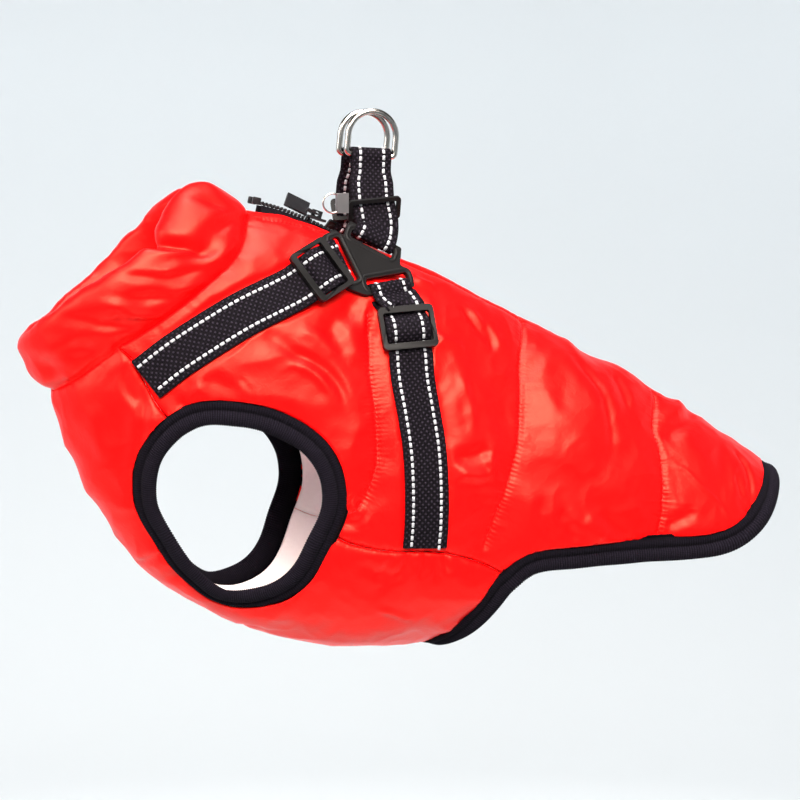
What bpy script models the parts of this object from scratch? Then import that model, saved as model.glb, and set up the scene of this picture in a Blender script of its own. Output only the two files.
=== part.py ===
"""Insulated dog jacket with a webbing harness, filled out as on a general torso.

Frame: -X is the head end, +X the tail, -Y the wearer's left, +Z up. The origin lies inside the back,
at the withers, under the two leash rings. Sizes here are in millimetres; meshes are written in metres.
The torso is a fan of rings from the neck to the tail. A place on it is (u, v): u counts the rings,
and v runs from 0 on the back ridge to 1 on the belly line. Pieces are drawn in the side view (x, z)
and laid on the torso, and what lies on a panel is made from its points, moved out along the normal.
"""
import math
from collections import namedtuple

import bmesh
import bpy
import numpy as np
from mathutils import Matrix, Vector

MM = 0.001
LEFT = -1.0            # the wearer's left, at -Y
GAP = 0.3              # clearance at a seam or where one piece rests on another

# ---- the torso -------------------------------------------------------------------------------------
Ring = namedtuple("Ring", "name top_x top_z bottom_x bottom_z half_width")
RINGS = (
    Ring("neck",      -68,   27, -179,  -70, 42),
    Ring("throat",    -38,   20, -169, -100, 48),
    Ring("shoulder",   -9,   10, -151, -137, 54),
    Ring("withers",    21,   -3, -119, -177, 58),
    Ring("elbow",      50,  -15,  -75, -203, 60),
    Ring("girth",      80,  -30,  -26, -218, 60),
    Ring("ribs",      108,  -44,   24, -220, 59),
    Ring("waist",     142,  -61.5, 69, -223, 57),
    Ring("loin",      186,  -86.5, 137, -227, 54),
    Ring("tail",      240, -122,  207, -231, 50),
    Ring("end",       268, -143,  240, -236, 48),
)
RING_SIZES = np.array([ring[1:] for ring in RINGS], dtype=float)

# ---- cloth -----------------------------------------------------------------------------------------
SHELL_WALL = 3.0       # quilted outer cloth with its wadding
LINING_WALL = 1.8
LINING_DEPTH = 4.9     # the lining's outer face, below the shell's, behind the wadding

Place = namedtuple("Place", "x z")
FRONT_SEAM = (Place(-145.7, -44.6), Place(-138, -52), Place(-128, -72))
SIDE_SEAM = (Place(-20, -154.5), Place(0, -158.5), Place(30, -161), Place(52, -168))
HEM_CORNER = Place(66, -175)
HEM_SIDE = (Place(74, -167.5), Place(85, -162.5), Place(117, -160), Place(160, -158.4), Place(184, -158),
            Place(202, -155), Place(215, -148), Place(226, -137), Place(234, -127))
HEM_BELLY = (Place(60, -182), Place(50, -200), Place(39, -214))
HEM_RIDGE_U = 9.03     # the hem crosses the back ridge here
HEM_BELLY_U = 6.15     # and the belly line here

ARMHOLE_CENTRE = Place(-82, -128)
ArmholeRadius = namedtuple("ArmholeRadius", "degrees radius")
ARMHOLE = (
    ArmholeRadius(0, 57.0), ArmholeRadius(30, 56.0), ArmholeRadius(60, 53.0), ArmholeRadius(90, 54.0),
    ArmholeRadius(120, 60.0), ArmholeRadius(150, 60.0), ArmholeRadius(180, 55.0), ArmholeRadius(210, 50.0),
    ArmholeRadius(240, 54.0), ArmholeRadius(270, 63.0), ArmholeRadius(300, 63.5), ArmholeRadius(330, 56.0),
)
ARMHOLE_FRONT = 130.0  # degrees, where the front seam meets it
ARMHOLE_REAR = -23.0   # and where the side seam does

NECK_V = 0.64          # height of the front seam on the neck ring
NECK_BOW = 0.33        # how far the neck seam bows back between ridge and front seam, in rings
NECK_TURN = 5.0         # how late the seam leaves the neck's end on its way down
COLLAR_SEAM_U = 0.026   # gap between the collar and the panels

QuiltSeam = namedtuple("QuiltSeam", "name places")
QUILT_SEAMS = (
    QuiltSeam("shoulder", (Place(-5, -19), Place(-10, -58), Place(-8, -82), Place(-10, -106),
                           Place(-20, -128))),
    QuiltSeam("ribs", (Place(87, -37), Place(86, -50), Place(80, -70), Place(75, -100), Place(65, -133),
                       Place(54, -161))),
    QuiltSeam("loin", (Place(172, -80), Place(164, -100), Place(165, -122), Place(162, -146),
                       Place(159, -158))),
)
QUILT_DEPTH = 1.8
QUILT_REACH = 9.0

RibStep = namedtuple("RibStep", "across lift")
RIB_WALL = 3.4
RIB_STEPS = (RibStep(0.4, 0.4), RibStep(4.4, 0.6), RibStep(7.5, 1.6), RibStep(11.0, 1.4), RibStep(13.2, -0.4))

# ---- collar ----------------------------------------------------------------------------------------
CollarStation = namedtuple("CollarStation", "v forward up puff")     # the rim's place from the neck seam
COLLAR_LEFT = (
    CollarStation(0.050, 26, 16, 2.5), CollarStation(0.11, 34, 17, 6.5), CollarStation(0.19, 43, 13, 8.0),
    CollarStation(0.27, 45, 9, 7.0), CollarStation(0.33, 38, 10, 3.5), CollarStation(0.38, 36, 17, 3.5),
    CollarStation(0.50, 28, 24, 4.5), CollarStation(0.65, 20, 30, 4.5), CollarStation(0.80, 17, 32, 4.0),
    CollarStation(1.00, 15, 29, 3.5),
)
COLLAR_RIGHT = (
    CollarStation(0.050, 28, 12, 2.5), CollarStation(0.11, 34, 12.5, 7.0), CollarStation(0.19, 38, 14.5, 8.0),
    CollarStation(0.27, 41, 16.5, 7.0), CollarStation(0.36, 38, 19, 5.5), CollarStation(0.46, 29, 22, 4.5),
    CollarStation(0.62, 13, 29, 4.5), CollarStation(0.80, 10, 33, 4.0), CollarStation(1.00, 15, 29, 3.5),
)
SectionPoint = namedtuple("SectionPoint", "along puff lift")
COLLAR_SECTION = (
    SectionPoint(0.00, 0.0, 0.0), SectionPoint(0.22, 0.6, 1.0), SectionPoint(0.50, 1.0, 1.2),
    SectionPoint(0.78, 0.9, 1.0), SectionPoint(0.95, 0.45, 0.0), SectionPoint(1.00, 0.0, -2.8),
    SectionPoint(0.95, 0.0, -6.4), SectionPoint(0.75, -0.2, -8.4), SectionPoint(0.45, -0.2, -8.0),
    SectionPoint(0.15, 0.0, -6.0), SectionPoint(0.00, 0.0, -4.6),
)

# ---- zip -------------------------------------------------------------------------------------------
ZipStation = namedtuple("ZipStation", "u opening chain_y rise")
ZIP = (
    ZipStation(0.25, 8.6, 6.2, 6.4), ZipStation(0.55, 7.4, 5.2, 5.8), ZipStation(0.90, 5.6, 3.4, 4.6),
    ZipStation(1.25, 3.9, 1.9, 3.4), ZipStation(1.70, 3.6, 1.5, 1.6), ZipStation(3.50, 3.6, 1.5, 1.1),
    ZipStation(5.40, 3.6, 1.5, 0.9),
)
ZIP_END_U = 5.40
SEAM_OPENING = 0.2     # half the gap of the centre back seam behind the zip
TAPE_WALL = 0.8
CHAIN_RADIUS = 1.1
SLIDER_U = 1.30
SLIDER_SIZE = (11.0, 8.6, 1.3)  # length, width and thickness of each plate
PULL_SIZE = (21.0, 8.6, 1.8)
PULL_ANGLE = 8.0       # degrees the pull tab stands above the chain
PULL_ROLL = 58.0       # and rolls about its length

# ---- harness ---------------------------------------------------------------------------------------
WEB_WIDTH = 25.0
WEB_WALL = 1.6
PLATE_CENTRE = Vector((-3.4, -31.5, -0.6))
PLATE_YAW = 12.0       # degrees, the plate's face turns towards the tail
PLATE_LEAN = 26.0      # and up
PLATE_WALL = 3.0

Slot = namedtuple("Slot", "name a b turn length")
CHEST_SLOT = Slot("chest", -17.2, 1.7, -74, 26.8)
RING_SLOT = Slot("ring", 1.5, 10.5, -31, 26.8)
GIRTH_SLOT = Slot("girth", 6.0, -11.5, 8, 26.4)
SLOT_WIDTH = 5.6
BAR_WIDTH = 3.6

ADJUSTER_LENGTH = 24.5
ADJUSTER_WIDTH = 31.4
ADJUSTER_WALL = 3.0
ADJUSTER_RIM = 2.5
BAR_SINK = 1.2         # how far the middle bar's top lies below the others
ADJUSTER_BARS = ((0.0, 3.5), (11.0, 2.5), (21.0, 3.5))
CHEST_START = 1.6      # distance from the junction's bar to the adjuster
CHEST_RISE = 5.2       # and the adjuster's height above the strap's line
GIRTH_START = 15.0
GIRTH_RISE = 3.0

RING_WIRE = 1.8
RING_WIDTH = 31.0
RING_HEIGHT = 26.0
RING_BAR = Vector((1.0, -9.5, 58.2))
RING_BAR_SLOPE = 5.5
RING_WEB_WIDTH = 22.6  # the webbing is pinched where it goes round the ring

MATERIALS = {          # colour (linear), roughness, metallic
    "shell": ((0.90, 0.035, 0.022), 0.55, 0.0),
    "lining": ((0.82, 0.70, 0.70), 0.95, 0.0),
    "rib": ((0.012, 0.010, 0.014), 0.90, 0.0),
    "webbing": ((0.016, 0.014, 0.018), 0.80, 0.0),
    "plastic": ((0.022, 0.020, 0.022), 0.45, 0.0),
    "nickel": ((0.62, 0.60, 0.58), 0.22, 1.0),
    "zip_tape": ((0.014, 0.013, 0.016), 0.85, 0.0),
}


# ---- curves through table rows ---------------------------------------------------------------------
def through(rows, t, closed=False):
    """Smooth curve through the rows; row k lies at t = k."""
    rows = np.asarray(rows, dtype=float)
    count = len(rows)
    if closed:
        k = math.floor(t)
        a, b, c, d = (rows[(k + step) % count] for step in (-1, 0, 1, 2))
    else:
        k = int(min(max(math.floor(t), 0), count - 2))
        before = 2 * rows[0] - rows[1]
        after = 2 * rows[-1] - rows[-2]
        a = rows[k - 1] if k > 0 else before
        b, c = rows[k], rows[k + 1]
        d = rows[k + 2] if k + 2 < count else after
    s = t - k
    return 0.5 * (2 * b + (c - a) * s + (2 * a - 5 * b + 4 * c - d) * s ** 2 + (3 * b - a - 3 * c + d) * s ** 3)


def through_keys(rows, keys, t):
    """Smooth curve through rows at uneven keys, with no overshoot beside a short step."""
    k = int(min(max(np.searchsorted(keys, t, side="right") - 1, 0), len(keys) - 2))
    slopes = np.diff(rows, axis=0) / np.diff(keys)[:, None]

    def tangent(i):
        if i == 0 or i == len(keys) - 1:
            return slopes[min(i, len(slopes) - 1)]
        before, after = keys[i] - keys[i - 1], keys[i + 1] - keys[i]
        return (slopes[i - 1] * after + slopes[i] * before) / (before + after)

    step = keys[k + 1] - keys[k]
    s = (t - keys[k]) / step
    start, end = tangent(k) * step, tangent(k + 1) * step
    return (rows[k] * (2 * s ** 3 - 3 * s ** 2 + 1) + start * (s ** 3 - 2 * s ** 2 + s)
            + rows[k + 1] * (3 * s ** 2 - 2 * s ** 3) + end * (s ** 3 - s ** 2))


def at_column(rows, column, value):
    """The row of a table where its rising column reaches the value."""
    keys = [getattr(row, column) for row in rows]
    low = sum(key <= value for key in keys) - 1
    low = min(max(low, 0), len(keys) - 2)
    t = low + (value - keys[low]) / (keys[low + 1] - keys[low])
    table = np.array([row for row in rows], dtype=float)
    return rows[0]._make(through(table, min(max(t, 0.0), len(keys) - 1.0)))


def resample(points, count):
    """Points evenly spaced along the smooth curve through the given ones."""
    dense = np.array([through(points, t) for t in np.linspace(0, len(points) - 1, 20 * len(points))])
    run = np.concatenate([[0.0], np.cumsum(np.linalg.norm(np.diff(dense, axis=0), axis=1))])
    wanted = np.linspace(0, run[-1], count)
    return np.stack([np.interp(wanted, run, dense[:, k]) for k in range(dense.shape[1])], axis=1)


# ---- the torso surface -----------------------------------------------------------------------------
def ring_at(u):
    return through(RING_SIZES, u)


def torso(u, v, side=LEFT):
    """Point of the torso, without folds, in mm."""
    top_x, top_z, bottom_x, bottom_z, half_width = ring_at(u)
    angle = math.pi * v
    drop = (1 - math.cos(angle)) / 2
    return np.array([top_x + (bottom_x - top_x) * drop, side * half_width * math.sin(angle),
                     top_z + (bottom_z - top_z) * drop])


def torso_normal(u, v, side=LEFT):
    step = 0.002
    along = torso(u + step, v, side) - torso(u - step, v, side)
    down = torso(u, v + step, side) - torso(u, v - step, side)
    normal = np.cross(along, down) * side
    return normal / np.linalg.norm(normal)


def torso_place(place):
    """The (u, v) of a point drawn in the side view."""
    def offside(u):
        top_x, top_z, bottom_x, bottom_z, _ = ring_at(u)
        return (place[0] - top_x) * (bottom_z - top_z) - (place[1] - top_z) * (bottom_x - top_x)

    low, high = -0.6, len(RINGS) - 1.0
    for _ in range(40):
        middle = (low + high) / 2
        if offside(low) * offside(middle) <= 0:
            high = middle
        else:
            low = middle
    top_x, top_z, bottom_x, bottom_z, _ = ring_at(low)
    reach = (bottom_x - top_x) ** 2 + (bottom_z - top_z) ** 2
    drop = ((place[0] - top_x) * (bottom_x - top_x) + (place[1] - top_z) * (bottom_z - top_z)) / reach
    return np.array([low, math.acos(min(max(1 - 2 * drop, -1.0), 1.0)) / math.pi])


def quilting(point):
    """How far the quilt seams pull the cloth in at a point, in mm."""
    nearest = 1e9
    for seam in QUILT_SEAMS:
        places = np.array(seam.places, dtype=float)
        for start, end in zip(places[:-1], places[1:]):
            run = end - start
            t = np.dot(point[[0, 2]] - start, run) / np.dot(run, run)
            nearest = min(nearest, np.linalg.norm(start + run * min(max(t, 0), 1) - point[[0, 2]]))
    return QUILT_DEPTH * math.exp(-(nearest / QUILT_REACH) ** 2)


def cloth_point(u, v, side=LEFT, lift=0.0):
    point = torso(u, v, side)
    return point + torso_normal(u, v, side) * (lift - quilting(point))


# ---- edges of the panels, as lists of (u, v) -------------------------------------------------------
def armhole_place(degrees):
    radii = [row.radius for row in ARMHOLE]
    radius = through([[r] for r in radii], degrees / 30.0, closed=True)[0]
    angle = math.radians(degrees)
    return Place(ARMHOLE_CENTRE.x + radius * math.cos(angle), ARMHOLE_CENTRE.z + radius * math.sin(angle))


def armhole_arc(start, end, count):
    return [torso_place(armhole_place(angle)) for angle in np.linspace(start, end, count)]


def drawn_line(places, count):
    """(u, v) points evenly spaced along a line drawn in the side view."""
    return [torso_place(place) for place in resample(np.array(places, dtype=float), count)]


def front_seam(count):
    return drawn_line(FRONT_SEAM + (armhole_place(ARMHOLE_FRONT),), count)


def side_seam(count):
    return drawn_line((armhole_place(ARMHOLE_REAR),) + SIDE_SEAM + (HEM_CORNER,), count)


def hem_side(count):
    line = [torso_place(place) for place in (HEM_CORNER,) + HEM_SIDE]
    line.append(np.array([HEM_RIDGE_U, 0.0]))
    return list(resample(np.array(line), count))


def hem_belly(count):
    line = [torso_place(place) for place in (HEM_CORNER,) + HEM_BELLY]
    line.append(np.array([HEM_BELLY_U, 1.0]))
    return list(resample(np.array(line), count))


def neck_u(v):
    """The neck seam's place along the torso."""
    at_seam = torso_place(FRONT_SEAM[0])[0]
    if v < NECK_V:
        bow = math.sin(math.pi * v / NECK_V) ** (NECK_TURN if v < NECK_V / 2 else 1.0)
        return at_seam * v / NECK_V + NECK_BOW * bow
    return at_seam * (1 - v) / (1 - NECK_V)


def opening_v(u):
    """v of the panel edge beside the zip or, behind it, beside the centre back seam."""
    half = at_column(ZIP, "u", u).opening if u <= ZIP_END_U else SEAM_OPENING
    blend = min(max((u - ZIP_END_U) / 0.25, 0.0), 1.0)
    half = half * (1 - blend) + SEAM_OPENING * blend
    return half / (math.pi * ring_at(u)[4])


# ---- objects ---------------------------------------------------------------------------------------
def clear_scene():
    for thing in list(bpy.data.objects):
        bpy.data.objects.remove(thing)
    for name in ("dog_jacket", "cutters"):
        collection = bpy.data.collections.new(name)
        bpy.context.scene.collection.children.link(collection)


def material(name, slot):
    colour, roughness, metallic = MATERIALS[slot]
    finish = bpy.data.materials.new(name)
    finish.use_nodes = True
    shader = finish.node_tree.nodes["Principled BSDF"]
    shader.inputs["Base Color"].default_value = (*colour, 1.0)
    shader.inputs["Roughness"].default_value = roughness
    shader.inputs["Metallic"].default_value = metallic
    return finish


def add_object(name, mesh, slot):
    part = bpy.data.objects.new(name, mesh)
    mesh.name = name
    mesh.materials.clear()
    mesh.materials.append(material(name, slot))
    bpy.data.collections["dog_jacket"].objects.link(part)
    return part


def grid_mesh(rows, closed_across=False, closed_along=False, capped=False):
    """A mesh over a grid of points in mm: rows run across, columns along."""
    bm = bmesh.new()
    verts = [[bm.verts.new(Vector(point) * MM) for point in row] for row in rows]
    row_pairs = list(zip(verts, verts[1:] + verts[:1] if closed_across else verts[1:]))
    for here, there in row_pairs:
        count = len(here) if closed_along else len(here) - 1
        for k in range(count):
            bm.faces.new((here[k], here[(k + 1) % len(here)], there[(k + 1) % len(here)], there[k]))
    if capped:
        bm.faces.new([row[0] for row in verts])
        bm.faces.new([row[-1] for row in reversed(verts)])
    mesh = bpy.data.meshes.new("grid")
    bm.to_mesh(mesh)
    bm.free()
    return mesh


def face_outwards(mesh, outwards):
    """Turn every face over when the mesh points against the given directions, one at each vertex."""
    mesh.update()
    agreement = sum(face.normal.dot(Vector(outwards[face.vertices[0]])) for face in mesh.polygons)
    if agreement < 0:
        mesh.flip_normals()


def cloth(name, slot, rows, normals, wall, closed_along=False):
    """A cloth wall: the grid is its outer face, and the inner face lies below it along the normals."""
    mesh = grid_mesh(rows, closed_along=closed_along)
    outwards = [Vector(normal) for row in normals for normal in row]
    face_outwards(mesh, outwards)
    outer = [vert.co.copy() for vert in mesh.vertices]
    part = add_object(name, mesh, slot)
    solidify = part.modifiers.new("wall", "SOLIDIFY")
    solidify.thickness = wall * MM
    solidify.offset = -1.0
    apply_modifiers(part)
    verts = part.data.vertices
    for k, (point, normal) in enumerate(zip(outer, outwards)):
        inner = max((verts[k], verts[k + len(outer)]), key=lambda vert: (vert.co - point).length)
        inner.co = point - normal * wall * MM
    part.data.shade_smooth()
    part.data.set_sharp_from_angle(angle=math.radians(50))
    return part


def apply_modifiers(part):
    bpy.context.view_layer.update()
    mesh = bpy.data.meshes.new_from_object(part.evaluated_get(bpy.context.evaluated_depsgraph_get()))
    part.modifiers.clear()
    part.data = mesh


def closed_loft(name, slot, sections, capped=True, closed_along=False):
    """A solid through closed sections; sections[k] is the list of points of station k."""
    rows = [list(row) for row in zip(*sections)]
    mesh = grid_mesh(rows, closed_across=True, closed_along=closed_along, capped=capped)
    bm = bmesh.new()
    bm.from_mesh(mesh)
    bmesh.ops.recalc_face_normals(bm, faces=bm.faces[:])
    bm.to_mesh(mesh)
    bm.free()
    mesh.shade_smooth()
    mesh.set_sharp_from_angle(angle=math.radians(40))
    return add_object(name, mesh, slot)


def mirrored(part, name, slot):
    """The same piece for the other side."""
    mesh = part.data.copy()
    mesh.transform(part.matrix_world.inverted() @ Matrix.Scale(-1, 4, (0, 1, 0)) @ part.matrix_world)
    mesh.flip_normals()
    return add_object(name, mesh, slot)


# ---- cloth panels ----------------------------------------------------------------------------------
BACK_COUNTS = (5, 15, 9, 16)      # columns along the front seam, armhole, side seam and hem
BELLY_COUNTS = (5, 18, 9)         # columns along the front seam, armhole and side seam
LINING_BACK_COUNTS = (4, 9, 6, 10)
LINING_BELLY_COUNTS = (4, 11, 6)
BELLY_FRONT_U = 1.2               # the underside's columns meet the belly line from here
BELLY_REAR_U = 5.3                # to here along the armhole
EDGE_V = 0.0006                   # half a seam gap, in v
NECK_FADE = 1.2                   # rings over which the columns lose the neck seam's bow


def back_edge(counts):
    front, arm, side, hem = counts
    line = front_seam(front)[:-1] + armhole_arc(ARMHOLE_FRONT, ARMHOLE_REAR, arm)[:-1]
    line += side_seam(side)[:-1] + hem_side(hem)[:-1]
    last = hem_side(hem)
    line.append(last[-2] * 0.12 + last[-1] * 0.88)
    return line


def back_rows(counts, across, lift):
    """Rows of points and normals from the zip down to the panel's lower edge."""
    edge = back_edge(counts)
    corner_u = edge[0][0]

    def bowed(u_edge, v):
        fade = max(0.0, 1 - (u_edge - corner_u) / NECK_FADE)
        return u_edge + (neck_u(min(v, NECK_V)) - corner_u) * fade

    rows, normals = [], []
    for fraction in np.linspace(0, 1, across):
        row, row_normals = [], []
        for u_edge, v_edge in edge:
            v_top = opening_v(bowed(u_edge, opening_v(u_edge)))
            v = v_top + (v_edge - EDGE_V - v_top) * fraction
            u = bowed(u_edge, v)
            row.append(cloth_point(u, v, LEFT, lift))
            row_normals.append(torso_normal(u, v))
        rows.append(row)
        normals.append(row_normals)
    return rows, normals


def belly_rows(counts, across, lift):
    """Rows from the left panel edge under the belly to the right one."""
    front, arm, side = counts
    edge = front_seam(front)[:-1]
    edge += armhole_arc(ARMHOLE_FRONT, 360 + ARMHOLE_REAR, arm)[:-1] + side_seam(side)
    middle = list(np.linspace(0.0, BELLY_FRONT_U, front)[:-1])
    middle += list(np.linspace(BELLY_FRONT_U, BELLY_REAR_U, arm)[:-1])
    middle += list(np.linspace(BELLY_REAR_U, HEM_BELLY_U, side))
    hem = hem_belly(across)
    places = []
    for fraction_index, fraction in enumerate(np.linspace(0, 1, across)):
        line = []
        for (u_edge, v_edge), u_middle in zip(edge, middle):
            v = v_edge + EDGE_V + (1 - v_edge - EDGE_V) * fraction
            line.append((u_edge + (u_middle - u_edge) * fraction, v))
        line[-1] = tuple(hem[fraction_index])
        places.append(line)
    rows = [[cloth_point(u, v, LEFT, lift) for u, v in line] for line in places]
    normals = [[torso_normal(u, v) for u, v in line] for line in places]
    for line in reversed(places[:-1]):
        rows.append([cloth_point(u, v, -LEFT, lift) for u, v in line])
        normals.append([torso_normal(u, v, -LEFT) for u, v in line])
    return rows, normals


def make_panels():
    rows, normals = back_rows(BACK_COUNTS, 10, 0.0)
    left = cloth("back_panel_left", "shell", rows, normals, SHELL_WALL)
    mirrored(left, "back_panel_right", "shell")
    rows, normals = belly_rows(BELLY_COUNTS, 7, 0.0)
    cloth("underside_panel", "shell", rows, normals, SHELL_WALL)
    rows, normals = back_rows(LINING_BACK_COUNTS, 6, -LINING_DEPTH)
    left = cloth("lining_back_left", "lining", rows, normals, LINING_WALL)
    mirrored(left, "lining_back_right", "lining")
    rows, normals = belly_rows(LINING_BELLY_COUNTS, 4, -LINING_DEPTH)
    cloth("lining_underside", "lining", rows, normals, LINING_WALL)


# ---- ribbed bindings -------------------------------------------------------------------------------
def binding(name, loop, sides, turn):
    """A ribbed band round a closed loop of (u, v), lying beyond the panels' edge."""
    points = np.array([cloth_point(u, v, side) for (u, v), side in zip(loop, sides)])
    normals = np.array([torso_normal(u, v, side) for (u, v), side in zip(loop, sides)])
    tangents = np.roll(points, -1, axis=0) - np.roll(points, 1, axis=0)
    tangents /= np.linalg.norm(tangents, axis=1)[:, None]
    across = np.cross(tangents, normals) * turn
    rows = [list(points + across * step.across + normals * step.lift) for step in RIB_STEPS]
    return cloth(name, "rib", rows, [list(normals)] * len(rows), RIB_WALL, closed_along=True)


def make_bindings():
    upper = armhole_arc(ARMHOLE_FRONT, ARMHOLE_REAR, BACK_COUNTS[1])
    lower = armhole_arc(360 + ARMHOLE_REAR, ARMHOLE_FRONT, BELLY_COUNTS[1])
    loop = upper[:-1] + lower[:-1]
    left = binding("armhole_rib_left", loop, [LEFT] * len(loop), 1.0)
    mirrored(left, "armhole_rib_right", "rib")
    belly = hem_belly(7)
    side = hem_side(BACK_COUNTS[3])
    half = belly[::-1] + side[1:]
    loop = half + half[-2:0:-1]
    sides = [LEFT] * len(half) + [-LEFT] * (len(half) - 2)
    binding("hem_rib", loop, sides, 1.0)


# ---- collar ----------------------------------------------------------------------------------------
def collar_section(v, side):
    """Closed section of the padded collar at one place round the neck."""
    station = at_column(COLLAR_LEFT if side == LEFT else COLLAR_RIGHT, "v", v)
    u = neck_u(v) - COLLAR_SEAM_U
    base = torso(u, v, side)
    normal = torso_normal(u, v, side)
    width = math.hypot(station.forward, station.up)
    along = np.array([-station.forward, 0.0, station.up]) / width
    outward = normal - along * np.dot(normal, along)
    outward /= np.linalg.norm(outward)
    return [base + along * width * p.along + outward * (p.lift + p.puff * station.puff)
            for p in COLLAR_SECTION[:-1]] + [base + outward * COLLAR_SECTION[-1].lift]


def make_collar():
    half = list(np.linspace(COLLAR_LEFT[0].v, 0.38, 9)) + list(np.linspace(0.46, 1.0, 8))
    sections = [collar_section(v, LEFT) for v in half]
    sections += [collar_section(v, -LEFT) for v in reversed(half[:-1])]
    closed_loft("collar", "shell", sections)


# ---- zip -------------------------------------------------------------------------------------------
def zip_point(u, share, side=LEFT):
    """A point of the zip tape: share 0 at the panel edge, 1 at the teeth."""
    station = at_column(ZIP, "u", u)
    edge = torso(u, station.opening / (math.pi * ring_at(u)[4]), side)
    ridge = torso(u, 0.0)
    start = edge + np.array([0.0, -side * (GAP + TAPE_WALL), -0.8])
    end = ridge + np.array([0.0, side * station.chain_y, station.rise])
    return start + (end - start) * share


def zip_chain(name, side):
    """One row of teeth, as a plain bead along the top of its tape."""
    path = [zip_point(u, 1.0, side) for u in np.linspace(ZIP[0].u, ZIP_END_U, 22)]
    return tube(name, path, CHAIN_RADIUS, "plastic", resolution=1)


def tube(name, path, radius, slot, closed=False, resolution=2):
    curve = bpy.data.curves.new(name, "CURVE")
    curve.dimensions = "3D"
    curve.bevel_depth = radius * MM
    curve.bevel_resolution = resolution
    curve.use_fill_caps = not closed
    spline = curve.splines.new("POLY")
    spline.points.add(len(path) - 1)
    for point, place in zip(spline.points, path):
        point.co = (*(Vector(place) * MM), 1.0)
    spline.use_cyclic_u = closed
    curve.materials.append(material(name, slot))
    part = bpy.data.objects.new(name, curve)
    bpy.data.collections["dog_jacket"].objects.link(part)
    return part


def zip_tape():
    """Rows and normals of the left tape, from the panel's edge to just under the teeth."""
    rows, normals = [[], []], [[], []]
    for u in np.linspace(ZIP[0].u, ZIP_END_U, 16):
        start, end = zip_point(u, 0.0), zip_point(u, 1.0)
        length = np.linalg.norm(end - start)
        run = np.cross(end - start, zip_point(u + 0.05, 0.5) - zip_point(u - 0.05, 0.5))
        normal = run / np.linalg.norm(run) * (1 if run[1] < 0 else -1)
        share = 1 - (CHAIN_RADIUS + GAP) / length
        for row, point in zip(rows, (start, start + (end - start) * share)):
            row.append(point + normal * TAPE_WALL / 2)
        for row in normals:
            row.append(normal)
    return rows, normals


def make_zip():
    rows, normals = zip_tape()
    left = cloth("zip_tape_left", "zip_tape", rows, normals, TAPE_WALL)
    mirrored(left, "zip_tape_right", "zip_tape")
    for name, side in (("zip_chain_left", LEFT), ("zip_chain_right", -LEFT)):
        zip_chain(name, side)
        stop_at = zip_point(ZIP[0].u, 1.0, side) + np.array(STOP_SHIFT)
        box(name.replace("chain", "stop"), STOP_SIZE, stop_at, zip_slope(ZIP[0].u + 0.1), "plastic")


def zip_slope(u):
    """Direction of the zip there, as a turn about Y."""
    run = torso(u + 0.1, 0.0) - torso(u - 0.1, 0.0)
    return Matrix.Rotation(math.atan2(-run[2], run[0]), 4, "Y")


def box(name, size, centre, turn, slot, bevel=0.4):
    part = solid_box(size, centre, turn)
    rounded = part.modifiers.new("rounded", "BEVEL")
    rounded.width = bevel * MM
    rounded.segments = 1
    return rename(part, name, slot)


def solid_box(size, centre, turn=None):
    bpy.ops.mesh.primitive_cube_add(size=1.0)
    part = bpy.context.object
    part.data.transform(Matrix.Diagonal((*(Vector(size) * MM), 1.0)))
    place(part, Matrix.Translation(Vector(centre) * MM) @ (turn or Matrix()))
    return part


def place(part, matrix):
    """Bake a place into the mesh, so that the object stays at the origin."""
    part.data.transform(matrix)
    part.matrix_world = Matrix()


def rename(part, name, slot):
    for collection in list(part.users_collection):
        collection.objects.unlink(part)
    bpy.data.collections["dog_jacket"].objects.link(part)
    part.name = name
    part.data.name = name
    part.data.materials.clear()
    part.data.materials.append(material(name, slot))
    return part


def combine(part, other, operation):
    """Boolean with a closed cutter or piece, applied at once."""
    boolean = part.modifiers.new("boolean", "BOOLEAN")
    boolean.operation = operation
    boolean.solver = "EXACT"
    boolean.object = other
    apply_modifiers(part)
    bpy.data.objects.remove(other)
    return part


def cylinder(radius, length, centre, axis="Y", sides=16):
    bpy.ops.mesh.primitive_cylinder_add(vertices=sides, radius=radius * MM, depth=length * MM)
    part = bpy.context.object
    turn = Matrix.Rotation(math.radians(90), 4, "X") if axis == "Y" else Matrix()
    place(part, Matrix.Translation(Vector(centre) * MM) @ turn)
    return part


STOP_SIZE = (4.6, 3.0, 4.0)
STOP_SHIFT = (-2.8, 0.0, 1.2)
SLIDER_GAP = 3.6        # between the slider's plates, for the teeth
LOWER_PLATE_WIDTH = 3.4
WEDGE_SIZE = (2.4, 1.2)  # length and width of the slider's divider, and how far in it stands
WEDGE_INSET = 1.5
CROWN_SIZE = (6.0, 2.0, 4.2)
CROWN_SINK = 0.2
CROWN_HOLE = 1.3
PULL_END = 1.4          # the pull tab reaches this far past its hinge before it is trimmed
PULL_NECK = (8.0, 6.5)  # length and width of the flat neck that holds the eye
PULL_LAP = 1.0
PULL_BAR = 0.9          # square bar that turns in the crown
PULL_EYE = (4.2, 3.2)
PULL_TRIM = 4.0         # length of the trimming blocks round the bar
PULL_PLAY = 0.05


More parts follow.
